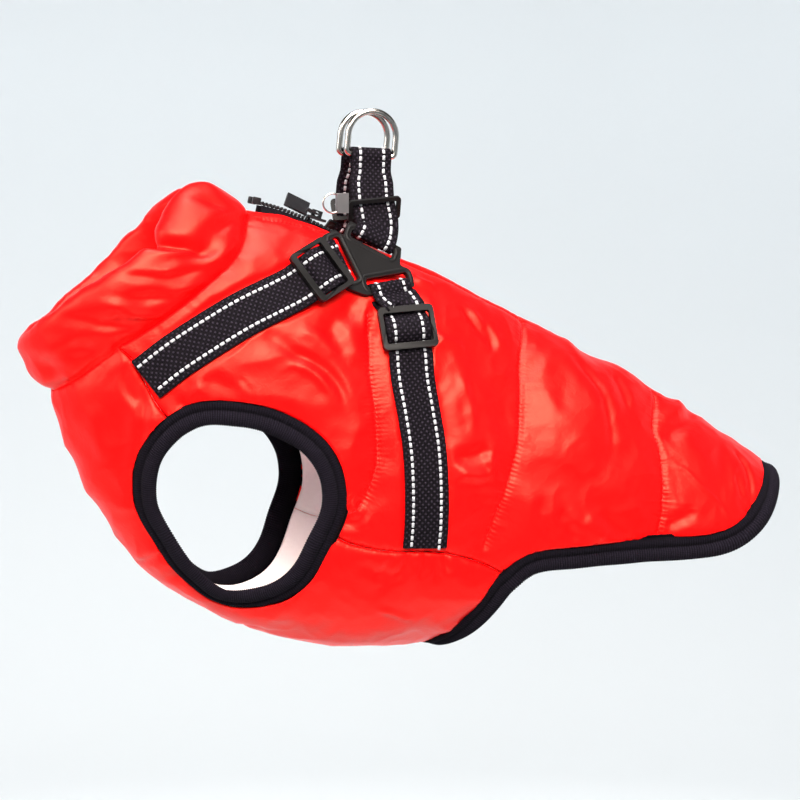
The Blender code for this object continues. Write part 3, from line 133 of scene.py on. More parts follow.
# a trough has a negative height
FOLDS = table(
    "Fold", "name height reach places",
    ("behind the girth adjuster", -1.2, 3.0, ((45, -26), (56, -37), (63, -45), (66, -53))),
    ("beside it", -0.9, 2.6, ((59, -35), (64, -43), (67, -50))),
    ("between them", 0.7, 2.4, ((52, -28), (60, -39), (66, -49))),
    ("below the adjuster", 1.0, 3.2, ((26, -42), (37, -46), (48, -49))),
    ("behind the junction", 0.8, 2.6, ((21, -13), (35, -17))),
    ("along the girth strap", -1.5, 7.0, ((25, -55), (29, -76), (31, -98), (33, -110))),
    ("girth ridge", 1.8, 3.4, ((29, -114), (44, -117), (58, -118))),
    ("girth trough", -1.7, 4.2, ((33, -107), (46, -107), (58, -103))),
    ("girth pocket", 1.1, 3.0, ((54, -105), (58, -113), (55, -121))),
    ("girth crease, upper", -0.6, 1.7, ((49, -120), (58, -124), (68, -127))),
    ("girth crease, middle", 0.5, 1.6, ((44, -126), (55, -129), (62, -132))),
    ("girth crease, lower", -0.5, 1.6, ((45, -133), (57, -135))),
    ("ribs slope", -1.2, 10.0, ((66, -62), (64, -84), (60, -98))),
    ("loin puff", 1.6, 17.0, ((128, -66), (116, -96), (104, -130))),
    ("loin dent", -1.0, 5.0, ((142, -66), (144, -78), (148, -92))),
    ("loin dent, front", -0.7, 6.0, ((104, -58), (105, -74), (99, -86))),
    ("hem scallop, front", -1.0, 4.0, ((84, -130), (88, -144), (97, -158))),
    ("hem scallop, middle", -1.1, 4.6, ((95, -138), (102, -149), (110, -158))),
    ("hem scallop, rear", -1.1, 4.6, ((121, -140), (131, -150), (142, -158))),
    ("hem swell", 0.8, 6.0, ((112, -142), (119, -150), (125, -158))),
    ("tail hollow", -1.5, 4.6, ((165, -104), (177, -98), (196, -93))),
    ("tail swell", 0.9, 6.0, ((168, -92), (180, -90), (190, -88))),
    ("tail hair crease", 0.5, 1.3, ((166, -114), (177, -121), (185, -130), (195, -139), (201, -147),
     (204, -155))),
    ("tail tip crease", -0.9, 2.4, ((215, -112), (220, -124), (221, -132), (219, -142))),
    ("tail tip crease, inner", -0.6, 2.0, ((210, -124), (215, -140))),
    ("tail low trough", -1.0, 4.0, ((163, -152), (172, -148), (183, -143))),
    ("under the junction", -1.9, 7.0, ((-11, -18), (-22, -28), (-38, -41))),
    ("under the junction, rear", -1.3, 3.6, ((-5, -20), (-6, -32), (-9, -44))),
    ("shoulder swell", 1.2, 6.0, ((-30, -26), (-20, -40), (-16, -58))),
    ("below the chest strap", 1.0, 4.5, ((-52, -33), (-38, -43), (-26, -54))),
    ("shoulder trough", -0.9, 5.0, ((-70, -36), (-58, -44), (-46, -56))),
    ("shoulder thread pull", -0.4, 1.3, ((-84, -60), (-79, -65), (-75, -70))),
    ("armhole front fold", -1.3, 3.4, ((-116, -71), (-111, -77), (-104, -82))),
    ("armhole front swell", 0.9, 4.0, ((-108, -64), (-101, -70), (-95, -76))),
    ("armhole upper", -0.7, 4.6, ((-101, -58), (-92, -64), (-80, -69))),
    ("chest hollow", -1.1, 6.5, ((-146, -72), (-142, -95), (-143, -118))),
    ("chest swell", 0.9, 6.0, ((-158, -72), (-155, -90), (-149, -108))),
    ("elbow crease", -0.9, 3.0, ((-130, -166), (-119, -158), (-112, -154))),
    ("elbow crease, lower", -0.7, 3.4, ((-116, -177), (-106, -169), (-90, -174))),
    ("behind the armhole", 1.1, 4.0, ((-25, -128), (-17, -137), (-13, -146))),
    ("behind the armhole, low", -1.2, 3.0, ((-29, -140), (-21, -142), (-12, -135))),
    ("side gather 1", -1.1, 2.6, ((11, -160), (9, -167), (5, -176))),
    ("side gather 2", -1.3, 2.4, ((18, -161), (20, -166), (18, -175))),
    ("side gather 3", -1.1, 2.2, ((24, -161), (26, -168), (28, -177))),
    ("side gather 4", -1.3, 2.0, ((30, -162), (32, -166), (34, -172))),
    ("side gather 5", -0.9, 2.4, ((37, -164), (41, -169), (44, -174))),
    ("side gather 6", -0.8, 2.4, ((2, -160), (-2, -168), (-9, -176))),
    ("belly crease", 0.7, 2.6, ((-7, -190), (6, -195), (19, -201))),
    ("belly sweep", -0.8, 4.0, ((-20, -164), (-6, -170), (9, -172))),
    ("shoulder sweep", -1.3, 3.0, ((-62, -44), (-44, -52), (-30, -64), (-24, -82))),
    ("shoulder sweep, ridge", 1.0, 2.6, ((-58, -52), (-42, -60), (-31, -74))),
    ("chest long fold", -1.1, 3.4, ((-140, -56), (-133, -74), (-134, -96), (-138, -116))),
    ("belly long fold", -0.9, 3.6, ((-104, -196), (-80, -203), (-52, -206))),
    ("rib long ridge", 0.9, 3.0, ((40, -60), (46, -80), (47, -98))),
    ("loin long trough", -0.9, 3.6, ((112, -52), (126, -72), (131, -94), (129, -116))),
    ("belly sweep, low", -0.6, 4.0, ((-12, -187), (-3, -178), (4, -169)))
)


# ---- settings ------------------------------------------------------------------------------------------
def length(name, description, default):
    """A size property, given in millimetres and kept in metres."""
    return bpy.props.FloatProperty(name=name, description=description, default=default * MM, min=0.0,
                                   precision=4, unit="LENGTH")


def colour(name, description, hex_colour):
    return bpy.props.FloatVectorProperty(name=name, description=description, size=3, min=0.0, max=1.0,
                                         subtype="COLOR", default=linear(hex_colour))


class ClothSettings(bpy.types.PropertyGroup):
    shell_colour: colour("Shell colour", "Dyed taffeta of the outer cloth", "#fa0208")
    rib_colour: colour("Knit colour", "Ribbed binding of the armholes and hem", "#060508")
    lining_colour: colour("Lining colour", "Brushed fleece inside", "#fbeeee")
    step: length("Cloth step", "Distance between the points of the cloth", 1.5)
    shell_wall: length("Shell wall", "Outer cloth with the wadding that clings to it", 1.2)
    rib_pitch: length("Rib pitch", "Distance between two ribs of the knit", 1.45)
    fold_share: bpy.props.FloatProperty(name="Folds", description="Share of the height of every fold",
                                        default=1.0, min=0.0, max=2.0, subtype="FACTOR")


class HarnessSettings(bpy.types.PropertyGroup):
    webbing_colour: colour("Webbing colour", "Woven polyester tape", "#131015")
    thread_colour: colour("Reflective thread", "Bright dashes woven along the tape", "#b4b6bc")
    plastic_colour: colour("Plastic colour", "Junctions, adjusters and keepers", "#121112")
    web_width: length("Webbing width", "Width of the harness tape", WEB_WIDTH)
    web_wall: length("Webbing thickness", "Thickness of the harness tape", 1.6)
    dash_pitch: length("Dash pitch", "Distance between two reflective dashes", 3.7)
    dash_inset: length("Dash inset", "From the edge of the tape to the middle of the dashes", 4.6)


class ZipSettings(bpy.types.PropertyGroup):
    tooth_colour: colour("Tooth colour", "Moulded zip teeth", "#1d1d20")
    tape_colour: colour("Tape colour", "Woven zip tape", "#151217")
    tooth_pitch: length("Tooth pitch", "Distance between two teeth of one row", 2.3)


class StageSettings(bpy.types.PropertyGroup):
    floor_colour: colour("Floor colour", "Matt paper sweep", "#e4e9ec")
    distance: length("Camera distance", "From the middle of the jacket", 1300.0)
    azimuth: bpy.props.FloatProperty(name="Azimuth", description="Camera's turn round the jacket",
                                     default=math.radians(-15), subtype="ANGLE", unit="ROTATION")
    elevation: bpy.props.FloatProperty(name="Elevation", description="Camera's height angle",
                                       default=math.radians(6), subtype="ANGLE", unit="ROTATION")


class JacketSettings(bpy.types.PropertyGroup):
    cloth: bpy.props.PointerProperty(type=ClothSettings, name="Cloth")
    harness: bpy.props.PointerProperty(type=HarnessSettings, name="Harness")
    zip: bpy.props.PointerProperty(type=ZipSettings, name="Zip")
    stage: bpy.props.PointerProperty(type=StageSettings, name="Stage")


def settings():
    return bpy.context.scene.jacket


# ---- curves through table rows -------------------------------------------------------------------------
def through(rows, t, closed=False):
    """Smooth curve through the rows at one place or many; row k lies at t = k."""
    rows = np.asarray(rows, dtype=float)
    t = np.asarray(t, dtype=float)
    count = len(rows)
    if closed:
        k = np.floor(t).astype(int)
        a, b, c, d = (rows[(k + shift) % count] for shift in (-1, 0, 1, 2))
    else:
        k = np.clip(np.floor(t).astype(int), 0, count - 2)
        long = np.vstack([2 * rows[0] - rows[1], rows, 2 * rows[-1] - rows[-2]])
        a, b, c, d = (long[k + shift] for shift in (0, 1, 2, 3))
    s = (t - k)[..., None]
    return 0.5 * (2 * b + (c - a) * s + (2 * a - 5 * b + 4 * c - d) * s ** 2 + (3 * b - a - 3 * c + d) * s ** 3)


def at_column(rows, column, value):
    """The rows of a table where its rising column reaches the values."""
    keys = [getattr(row, column) for row in rows]
    return through(rows, np.interp(value, keys, range(len(keys))))


def lengths(points):
    """Distance along a line of points, from its first one."""
    return np.concatenate([[0.0], np.cumsum(np.linalg.norm(np.diff(points, axis=0), axis=1))])


def between(run, rows, where):
    """The rows at one distance or many, run being the distance at each row."""
    return np.stack([np.interp(where, run, rows[:, k]) for k in range(rows.shape[1])], axis=-1)


def steps_round(points):
    """The way at each point of a closed line whose last point repeats its first."""
    ends = points[1] - points[-2]
    return np.vstack([ends, points[2:] - points[:-2], ends])


def spread(points, count, upto=1.0):
    """Points evenly spaced along a line, up to a share of its length."""
    run = lengths(points)
    return between(run, points, np.linspace(0, run[-1] * upto, count))


def resample(points, count, upto=1.0):
    """Points evenly spaced along the smooth curve through the given ones."""
    points = np.asarray(points, dtype=float)
    return spread(through(points, np.linspace(0, len(points) - 1, 20 * len(points))), count, upto)


def unit(vectors):
    return vectors / np.linalg.norm(vectors, axis=-1, keepdims=True)


# ---- the torso surface ---------------------------------------------------------------------------------
def torso(u, v, side):
    """Points of the torso, without folds, in mm."""
    u, v, side = np.broadcast_arrays(np.asarray(u, float), v, side)
    top_x, top_z, bottom_x, bottom_z, half_width = np.moveaxis(through(RINGS, u), -1, 0)
    drop = (1 - np.cos(math.pi * v)) / 2
    return np.stack([top_x + (bottom_x - top_x) * drop, side * half_width * np.sin(math.pi * v),
                     top_z + (bottom_z - top_z) * drop], axis=-1)


def torso_normal(u, v, side):
    nudge = 0.002
    along = torso(u + nudge, v, side) - torso(u - nudge, v, side)
    down = torso(u, v + nudge, side) - torso(u, v - nudge, side)
    return unit(np.cross(along, down) * np.asarray(side)[..., None])


def torso_place(places):
    """The (u, v) of points drawn in the side view."""
    places = np.atleast_2d(np.asarray(places, dtype=float))

    def offside(u):
        top_x, top_z, bottom_x, bottom_z, _ = through(RINGS, u).T
        return (places[:, 0] - top_x) * (bottom_z - top_z) - (places[:, 1] - top_z) * (bottom_x - top_x)

    low, high = np.full(len(places), -0.6), np.full(len(places), len(RINGS) - 1.0)
    for _ in range(40):
        middle = (low + high) / 2
        before = offside(low) * offside(middle) <= 0
        low, high = np.where(before, low, middle), np.where(before, middle, high)
    top_x, top_z, bottom_x, bottom_z, _ = through(RINGS, low).T
    reach = (bottom_x - top_x) ** 2 + (bottom_z - top_z) ** 2
    drop = ((places[:, 0] - top_x) * (bottom_x - top_x) + (places[:, 1] - top_z) * (bottom_z - top_z)) / reach
    return np.stack([low, np.arccos(np.clip(1 - 2 * drop, -1.0, 1.0)) / math.pi], axis=1)


# ---- edges of the panels, as rows of (u, v) ------------------------------------------------------------
def armhole_place(degrees):
    radius = through([[r] for r in ARMHOLE_RADII], np.asarray(degrees) / 30.0, closed=True)[..., 0]
    angle = np.radians(degrees)
    return np.stack([ARMHOLE_CENTRE[0] + radius * np.cos(angle),
                     ARMHOLE_CENTRE[1] + radius * np.sin(angle)], axis=-1)


def armhole_arc(start, end, count):
    return torso_place(armhole_place(np.linspace(start, end, count)))


def front_seam(count):
    return torso_place(resample((*FRONT_SEAM, armhole_place(ARMHOLE_FRONT)), count))


def side_seam(count):
    return torso_place(resample((armhole_place(ARMHOLE_REAR), *SIDE_SEAM, HEM_CORNER), count))


def hem_side(count, upto=1.0):
    line = np.vstack([torso_place((HEM_CORNER, *HEM_SIDE)), (HEM_RIDGE_U, 0.0)])
    return resample(line, count, upto)


def hem_belly(count):
    line = np.vstack([torso_place((HEM_CORNER, *HEM_BELLY)), (HEM_BELLY_U, 1.0)])
    return resample(line, count)


def neck_u(v):
    """The neck seam's place along the torso."""
    at_seam = torso_place(FRONT_SEAM[0])[0, 0]
    share = np.asarray(v) / NECK_V
    bow = np.sin(math.pi * np.clip(share, 0.0, 1.0)) ** np.where(share < 0.5, NECK_TURN, 1.0)
    return np.where(share < 1, at_seam * share + NECK_BOW * bow, at_seam * (1 - v) / (1 - NECK_V))


def opening_v(u):
    """v of the panel edge beside the zip or, behind it, beside the centre back seam."""
    half = at_column(ZIP, "u", u)[..., 1]
    blend = np.clip((u - ZIP_END_U + 0.03) / 0.06, 0.0, 1.0)
    half = half * (1 - blend) + SEAM_OPENING * blend
    return half / (math.pi * through(RINGS, u)[..., 4])


# ---- lines sewn or folded into the cloth ---------------------------------------------------------------
END_SHARE = 0.28      # a fold runs out over this share of its length at each end


class ClothLine:
    """A line on the torso, sampled every half millimetre."""

    def __init__(self, uv, side):
        run = lengths(torso(uv[:, 0], uv[:, 1], side))
        count = max(8, int(run[-1] / 0.5))
        wanted = np.linspace(0, run[-1], count)
        self.uv = between(run, uv, wanted)
        self.side = side
        self.points = torso(self.uv[:, 0], self.uv[:, 1], side)
        self.run = wanted
        self.length = run[-1]

    def near(self, points, reach):
        """Indices of the points within reach, with their distance from the line and place along it."""
        low, high = self.points.min(axis=0) - reach, self.points.max(axis=0) + reach
        picked = np.flatnonzero(((points > low) & (points < high)).all(axis=1))
        if len(picked) == 0:
            return picked, np.zeros(0), np.zeros(0)
        gaps = np.linalg.norm(points[picked, None, :] - self.points[None, ::2, :], axis=2)
        nearest = gaps.argmin(axis=1)
        return picked, gaps[np.arange(len(picked)), nearest], self.run[::2][nearest]

    def ends(self, along):
        """1 in the middle of the line and 0 at its ends."""
        inside = np.clip(np.minimum(along, self.length - along) / (END_SHARE * self.length), 0.0, 1.0)
        return inside ** 2 * (3 - 2 * inside)


def drawn(places, side):
    return ClothLine(torso_place(resample(places, 12 * len(places))), side)


def elsewhere(places, number):
    """The same fold on the hidden side, a little out of place."""
    return [(x + 7 * math.sin(2.4 * number), z + 4 * math.cos(1.7 * number)) for x, z in places]


# a strap's stations on the cloth: place, height, roll, and the way its width runs
CHEST_STATIONS = table(
    "Station", "x z lift roll across",
    (-33.5, -6.6, 6.4, 0, (0.29, -0.96)), (-46, -12.9, 4.0, 0, (0.33, -0.94)),
    (-60, -18.8, 2.2, 0, (0.36, -0.93)), (-78, -26.7, 1.9, 0, (0.40, -0.92)),
    (-98, -37.8, 1.9, 0, (0.47, -0.88)), (-117, -50, 1.9, 0, (0.50, -0.86)),
    (-131.5, -61.5, 2.3, 0, (0.42, -0.90))
)
GIRTH_STATIONS = table(
    "Station", "x z lift roll across",
    *((*row, (1.0, 0.0)) for row in (
        (10.5, -27, 6.4, 12), (12.6, -39, 6.2, 11), (12.2, -51, 4.6, 8), (13, -64, 2.6, 4), (15.3, -80, 1.9, 0),
        (18, -100, 1.9, 0), (19.4, -125, 1.9, 0), (19.6, -145, 1.9, 0), (19.2, -156.5, 1.9, 0)))
)
CHEST_COURSE = [(row.x, row.z) for row in CHEST_STATIONS[:-1]] + [(-131, -61.5)]
GIRTH_COURSE = [(row.x, row.z) for row in GIRTH_STATIONS[:-1]] + [(19.2, -157)]


def facing_line(side):
    """The row of stitches that holds the zip's facing."""
    u = np.linspace(0.25, ZIP_END_U + 0.1, 120)
    width = np.interp(u, (0.2, 1.6, 3.0, 5.5), (7.6, 7.4, 5.4, 4.6))
    return ClothLine(np.stack([u, opening_v(u) + width / (math.pi * through(RINGS, u)[:, 4])], axis=1), side)


def neck_line(side):
    v = np.linspace(0.02, 1.0, 200)
    return ClothLine(np.stack([neck_u(v), v], axis=1), side)


QUILT_PITCH = 4.6    # distance between the gathers of a quilted seam
RIDGE_FADE = 45.0    # a quilted seam deepens over this length below the ridge
SEAMS = table(
    "Seam", "name sink reach notch pucker gather pitch",
    ("facing", 0.5, 4.0, 1.0, 0.7, 0.22, 5.2), ("neck", 0.9, 5.0, 0.7, 0.3, 0.40, 11.0),
    ("front", 0.5, 3.5, 0.9, 0.3, 0.20, 8.0), ("side", 0.6, 4.0, 0.9, 0.5, 0.45, 6.2),
    ("armhole", 0.5, 4.0, 0.0, 0.2, 0.28, 9.0), ("hem", 0.5, 4.0, 0.0, 0.3, 0.42, 8.4),
    ("belly hem", 0.5, 4.0, 0.0, 0.3, 0.30, 8.4)
)


def seam_lines(side):
    """The lines of the seams, in the order of their table."""
    panels = (front_seam(60), side_seam(90), armhole_arc(0, 360, 200), hem_side(160), hem_belly(60))
    return [facing_line(side), neck_line(side)] + [ClothLine(uv, side) for uv in panels]


def cloth_lines():
    """Every sewn line, (line, sink, reach, notch, pucker, gather, pitch, fade), every fold, every strap."""
    sewn, folds, straps = [], [], []
    for side in SIDES.values():
        sewn += [(drawn(row.places, side), *row[1:6], QUILT_PITCH, RIDGE_FADE) for row in QUILT_LINES]
        sewn += [(line, *row[1:], 0.0) for line, row in zip(seam_lines(side), SEAMS)]
        for number, row in enumerate(FOLDS):
            places, height = row.places, row.height
            if side == RIGHT:
                places, height = elsewhere(places, number), height * (0.75 + 0.35 * math.sin(3.1 * number))
            folds.append((drawn(places, side), height, row.reach))
        straps += [drawn(places, side) for places in (CHEST_COURSE, GIRTH_COURSE)]
    return sewn, folds, straps


def wander(points, scale, seed=0.0):
    """Soft noise from -1 to 1 at every point, with swells about one scale wide."""
    return np.array([noise.noise(Vector(point) / scale + Vector((seed, 0, 0))) for point in points])


BULGE = 1.6          # how far the wadding lifts the cloth between seams
SWELL, SWELL_WIDTH = 1.8, 40
CREASE, CREASE_WIDTH = 0.75, 34
FINE_CREASE, FINE_WIDTH = 0.22, 13
SINK_GAIN, FOLD_GAIN = 1.6, 2.1
NOTCH_REACH = 1.4
SHOULDER, SHOULDER_REACH = 0.28, 2.1      # the cloth falls a little on both sides of a ridge
PRESS_REACH = 13.0   # half the width that a strap presses down
PRESSED = 0.4        # how far the cloth may rise under it


def crumple(points, scale, seed=0.0):
    """Folded noise from -1 to 1: soft facets that meet in sharp creases."""
    bent = points + 0.22 * scale * np.stack([wander(points, scale, seed + k) for k in (11, 23, 37)], axis=1)
    return 1.0 - 4.0 * np.abs(wander(bent, scale, seed))


def relief(points, lines, share):
    """Height of the cloth above the torso at each point, and how near and where along a seam it lies."""
    sewn, folds, straps = lines
    height = share * (BULGE + SWELL * wander(points, SWELL_WIDTH) + CREASE * crumple(points, CREASE_WIDTH, 5)
                      + FINE_CREASE * crumple(points, FINE_WIDTH, 9))
    closeness, place = np.zeros(len(points)), np.zeros(len(points))
    for line, sink, reach, notch, pucker, gather, pitch, fade in sewn:
        picked, gap, along = line.near(points, 3.0 * reach)
        deep = np.clip(0.2 + along / max(fade, 1e-6), 0.0, 1.0) * SINK_GAIN * sink
        height[picked] -= share * (deep * np.exp(-(gap / reach) ** 1.6)
                                   + notch * np.exp(-(gap / NOTCH_REACH) ** 2))
        phase = 2 * math.pi * along / pitch + 2.2 * np.sin(along * 0.31) + 1.3 * np.sin(along * 0.13 + 1)
        strength = 0.6 + 0.4 * np.sin(along * 0.23 + 2)
        height[picked] += gather * share * strength * np.sin(phase) * np.exp(-gap / (0.9 * reach))
        close = pucker * np.exp(-gap / 2.4)
        nearer = close > closeness[picked]
        closeness[picked[nearer]] = close[nearer]
        place[picked[nearer]] = along[nearer]
    for line, tall, reach in folds:
        picked, gap, along = line.near(points, 3.0 * reach)
        shape = np.exp(-(gap / reach) ** 2) - SHOULDER * np.exp(-(gap / (SHOULDER_REACH * reach)) ** 2)
        height[picked] += tall * FOLD_GAIN * share * shape * line.ends(along)
    for line in straps:
        picked, gap, _ = line.near(points, PRESS_REACH + 8.0)
        height[picked] = np.minimum(height[picked], PRESSED + 0.55 * np.maximum(gap - PRESS_REACH, 0.0))
    return height, closeness, place


# ---- meshes --------------------------------------------------------------------------------------------
WELD = 0.000002


def into_mesh(bm, name):
    """A smooth mesh from a bmesh, which is freed."""
    mesh = bpy.data.meshes.new(name)
    bm.to_mesh(mesh)
    bm.free()
    mesh.shade_smooth()
    return mesh


def joined(name, meshes):
    """Several meshes as one."""
    bm = bmesh.new()
    for mesh in meshes:
        bm.from_mesh(mesh)
    return into_mesh(bm, name)


def put(name, data):
    """A new object in the scene."""
    made = bpy.data.objects.new(name, data)
    bpy.context.scene.collection.objects.link(made)
    return made


def surface(name, points, spans=None, outwards=None, close_x=False, close_y=False, values=None):
    """A grid moved onto an array of points, in mm. spans are the grid's real sizes, for its UV map."""
    nx, ny = points.shape[:2]
    bm = bmesh.new()
    bm.loops.layers.uv.new("UVMap")
    bmesh.ops.create_grid(bm, x_segments=nx - 1, y_segments=ny - 1, size=0.5, calc_uvs=True)
    mesh = bpy.data.meshes.new(name)
    bm.to_mesh(mesh)
    bm.free()
    flat = np.empty(len(mesh.vertices) * 3)
    mesh.vertices.foreach_get("co", flat)
    flat = flat.reshape(-1, 3) + 0.5
    i, j = np.rint(flat[:, 0] * (nx - 1)).astype(int), np.rint(flat[:, 1] * (ny - 1)).astype(int)
    mesh.vertices.foreach_set("co", (points[i, j] * MM).ravel())
    corner = np.empty(len(mesh.loops), dtype=int)
    mesh.loops.foreach_get("vertex_index", corner)
    if spans is None:
        spans = (lengths(points[:, ny // 2])[-1], lengths(points[nx // 2])[-1])
    uv = np.stack([i[corner] / (nx - 1) * spans[0], j[corner] / (ny - 1) * spans[1]], axis=1) * MM
    mesh.uv_layers[0].data.foreach_set("uv", uv.ravel())
    for key, value in (values or {}).items():
        mesh.attributes.new(key, "FLOAT", "POINT").data.foreach_set("value", value[i, j])
    mesh.update()
    if outwards is not None:
        ways = np.empty(len(mesh.polygons) * 3)
        mesh.polygons.foreach_get("normal", ways)
        first = corner[::4]
        if (ways.reshape(-1, 3) * outwards[i, j][first]).sum() < 0:
            mesh.flip_normals()
    if close_x or close_y:
        bm = bmesh.new()
        bm.from_mesh(mesh)
        bmesh.ops.remove_doubles(bm, verts=bm.verts[:], dist=WELD)
        bmesh.ops.recalc_face_normals(bm, faces=bm.faces[:])
        bm.to_mesh(mesh)
        bm.free()
    mesh.shade_smooth()
    return mesh


def piece(name, mesh, finish, replaces=(), body=BODY):
    """An object of the jacket with its material, its body and the CAD nodes that it stands for."""
    made = put(name, mesh)
    mesh.name = name
    mesh.materials.clear()
    mesh.materials.append(finish)
    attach(made, body)
    if replaces:
        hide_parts(*replaces)
    return made


def wall(made, thickness):
    """Gives a cloth surface its thickness, inwards."""
    modifier = made.modifiers.new("wall", "SOLIDIFY")
    modifier.thickness = thickness
    modifier.offset = -1.0
    return made


def mirrored(mesh, name):
    """The same mesh for the wearer's other side."""
    copy = mesh.copy()
    copy.name = name
    copy.transform(Matrix.Scale(-1, 4, (0, 1, 0)))
    copy.flip_normals()
    return copy


def repeated(name, template, matrices):
    """Many copies of a small mesh, joined."""
    bm = bmesh.new()
    for matrix in matrices:
        copy = template.copy()
        copy.transform(matrix)
        bm.from_mesh(copy)
        bpy.data.meshes.remove(copy)
    return into_mesh(bm, name)


def pillow(size, edge):
    """A small rounded block, in mm."""
    bm = bmesh.new()
    bmesh.ops.create_cube(bm, size=1.0)
    bmesh.ops.scale(bm, vec=Vector(size) * MM, verts=bm.verts[:])
    bmesh.ops.bevel(bm, geom=bm.edges[:], offset=edge * MM, segments=1, profile=0.5, affect="EDGES",
                    material=-1)
    return into_mesh(bm, "pillow")


def axes(origin, x_axis, z_axis):
    """A matrix at a point in mm, from its first axis and roughly its third."""
    x_axis = Vector(x_axis).normalized()
    y_axis = Vector(z_axis).cross(x_axis).normalized()
    turn = Matrix((x_axis, y_axis, x_axis.cross(y_axis))).transposed().to_4x4()
    return Matrix.Translation(Vector(origin) * MM) @ turn


THREAD_ROUND = 0.42      # a dash's edge radius as a share of its thickness


def stitches(points, forwards, outwards, pitch, size, name):
    """Thread dashes along a line of points, every pitch, half sunk in the cloth."""
    run = lengths(points)
    matrices = [axes(*(between(run, part, place) for part in (points, forwards, outwards)))
                for place in np.arange(pitch / 2, run[-1], pitch)]
    return repeated(name, pillow(size, min(size) * THREAD_ROUND), matrices)


# ---- materials -----------------------------------------------------------------------------------------
def add(tree, kind, inputs=None, **options):
    """Adds a node with its options. inputs maps a socket's name or number to a value or an output."""
    made = tree.nodes.new("ShaderNode" + kind)
    for key, value in options.items():
        setattr(made, key, value)
    for key, value in (inputs or {}).items():
        if isinstance(value, bpy.types.NodeSocket):
            tree.links.new(value, made.inputs[key])
        else:
            made.inputs[key].default_value = value
    return made.outputs


def finish(name, **sockets):
    """A new material with its main shader; returns it with its tree and shader."""
    made = bpy.data.materials.new(name)
    made.use_nodes = True
    shader = made.node_tree.nodes["Principled BSDF"]
    for key, value in sockets.items():
        shader.inputs[key.replace("_", " ").title().replace("Ior", "IOR")].default_value = value
    return made, made.node_tree, shader


def tint(tree, shader, colour_value, factor, change):
    """Lets the base colour vary by a factor from 0 to 1, between darker and lighter by change."""
    low = (*(c / (1 + change) for c in colour_value), 1.0)
    high = (*(min(1.0, c * (1 + change)) for c in colour_value), 1.0)
    mixed = add(tree, "Mix", {0: factor, 6: low, 7: high}, data_type="RGBA")[2]
    tree.links.new(mixed, shader.inputs["Base Color"])


def rough(tree, shader, height, distance, strength=1.0, below=None):
    """Bump from a height field, its distance in mm; below is the bump under it."""
    inputs = {"Height": height, "Distance": distance * MM, "Strength": strength}
    if below is not None:
        inputs["Normal"] = below
    bump = add(tree, "Bump", inputs)[0]
    tree.links.new(bump, shader.inputs["Normal"])
    return bump


def taffeta():
    """Dyed polyester taffeta over wadding: a smooth close weave with a soft broad sheen, puckered at seams."""
    made, tree, shader = finish("quilted polyester taffeta", roughness=0.42, specular_ior_level=0.27,
                                specular_tint=(1.0, 0.93, 0.60, 1.0))
    colour_value = settings().cloth.shell_colour
    where = add(tree, "TexCoord")["Object"]
    soft = add(tree, "TexNoise", {"Vector": where, "Scale": 1 / (26 * MM), "Detail": 2.0})[0]
    tint(tree, shader, colour_value, soft, 0.05)
    ripple = add(tree, "TexNoise", {"Vector": where, "Scale": 1 / (3.6 * MM), "Detail": 3.0, "Roughness": 0.6,
                                    "Distortion": 0.8})[0]
    below = rough(tree, shader, ripple, 0.35, 0.55)
    # the real weave is finer; it is drawn half a millimetre wide so that it shows
    grain = add(tree, "TexNoise", {"Vector": where, "Scale": 1 / (0.5 * MM), "Detail": 1.0})[0]
    below = rough(tree, shader, grain, 0.04, 0.6, below)
    along = add(tree, "Attribute", attribute_name="seam_place")["Fac"]
    shaken = add(tree, "Math", {0: soft, 1: 9.0}, operation="MULTIPLY")[0]
    turn = add(tree, "Math", {0: along, 1: 2 * math.pi / 2.5, 2: shaken}, operation="MULTIPLY_ADD")[0]
    wave = add(tree, "Math", {0: turn}, operation="SINE")[0]
    close = add(tree, "Attribute", attribute_name="seam_near")["Fac"]
    pucker = add(tree, "Math", {0: wave, 1: close}, operation="MULTIPLY")[0]
    rough(tree, shader, pucker, 0.18, 0.7, below)
    return made


def thread(name, colour_value, roughness=0.6):
    """Spun thread: short bright strands that catch the light along their length."""
    made, tree, shader = finish(name, roughness=roughness)
    where = add(tree, "TexCoord")["Object"]
    strand = add(tree, "TexNoise", {"Vector": where, "Scale": 1 / (0.5 * MM), "Detail": 2.0})[0]
    tint(tree, shader, colour_value, strand, 0.12)
    rough(tree, shader, strand, 0.12, 0.8)
    return made


def rib_knit():
    """Ribbed polyester knit: matt, dark, with a faint fuzz and rows of loops across every rib, and painted
    light in its base colour: a painted highlight on the rib crests, painted shade in the grooves.
    """
    made, tree, shader = finish("ribbed knit", roughness=0.92, specular_ior_level=0.02, sheen_weight=0.015,
                                sheen_roughness=0.5)
    where = add(tree, "TexCoord")["UV"]
    parts = add(tree, "SeparateXYZ", {0: where})
    loop = add(tree, "Math", {0: parts[1], 1: 2 * math.pi / (0.9 * MM)}, operation="MULTIPLY")[0]
    rows = add(tree, "Math", {0: loop}, operation="SINE")[0]
    place = add(tree, "TexCoord")["Object"]
    fuzz = add(tree, "TexNoise", {"Vector": place, "Scale": 1 / (0.45 * MM), "Detail": 3.0})[0]
    # painted light: the rib crests are painted lighter as a painted highlight, the grooves and the flat band
    # darker as painted shade
    top = add(tree, "Attribute", attribute_name="rib_painted_light")["Fac"]
    tint(tree, shader, settings().cloth.rib_colour, top, 6.0)
    below = rough(tree, shader, rows, 0.10, 0.5)
    rough(tree, shader, fuzz, 0.25, 0.7, below)
    return made


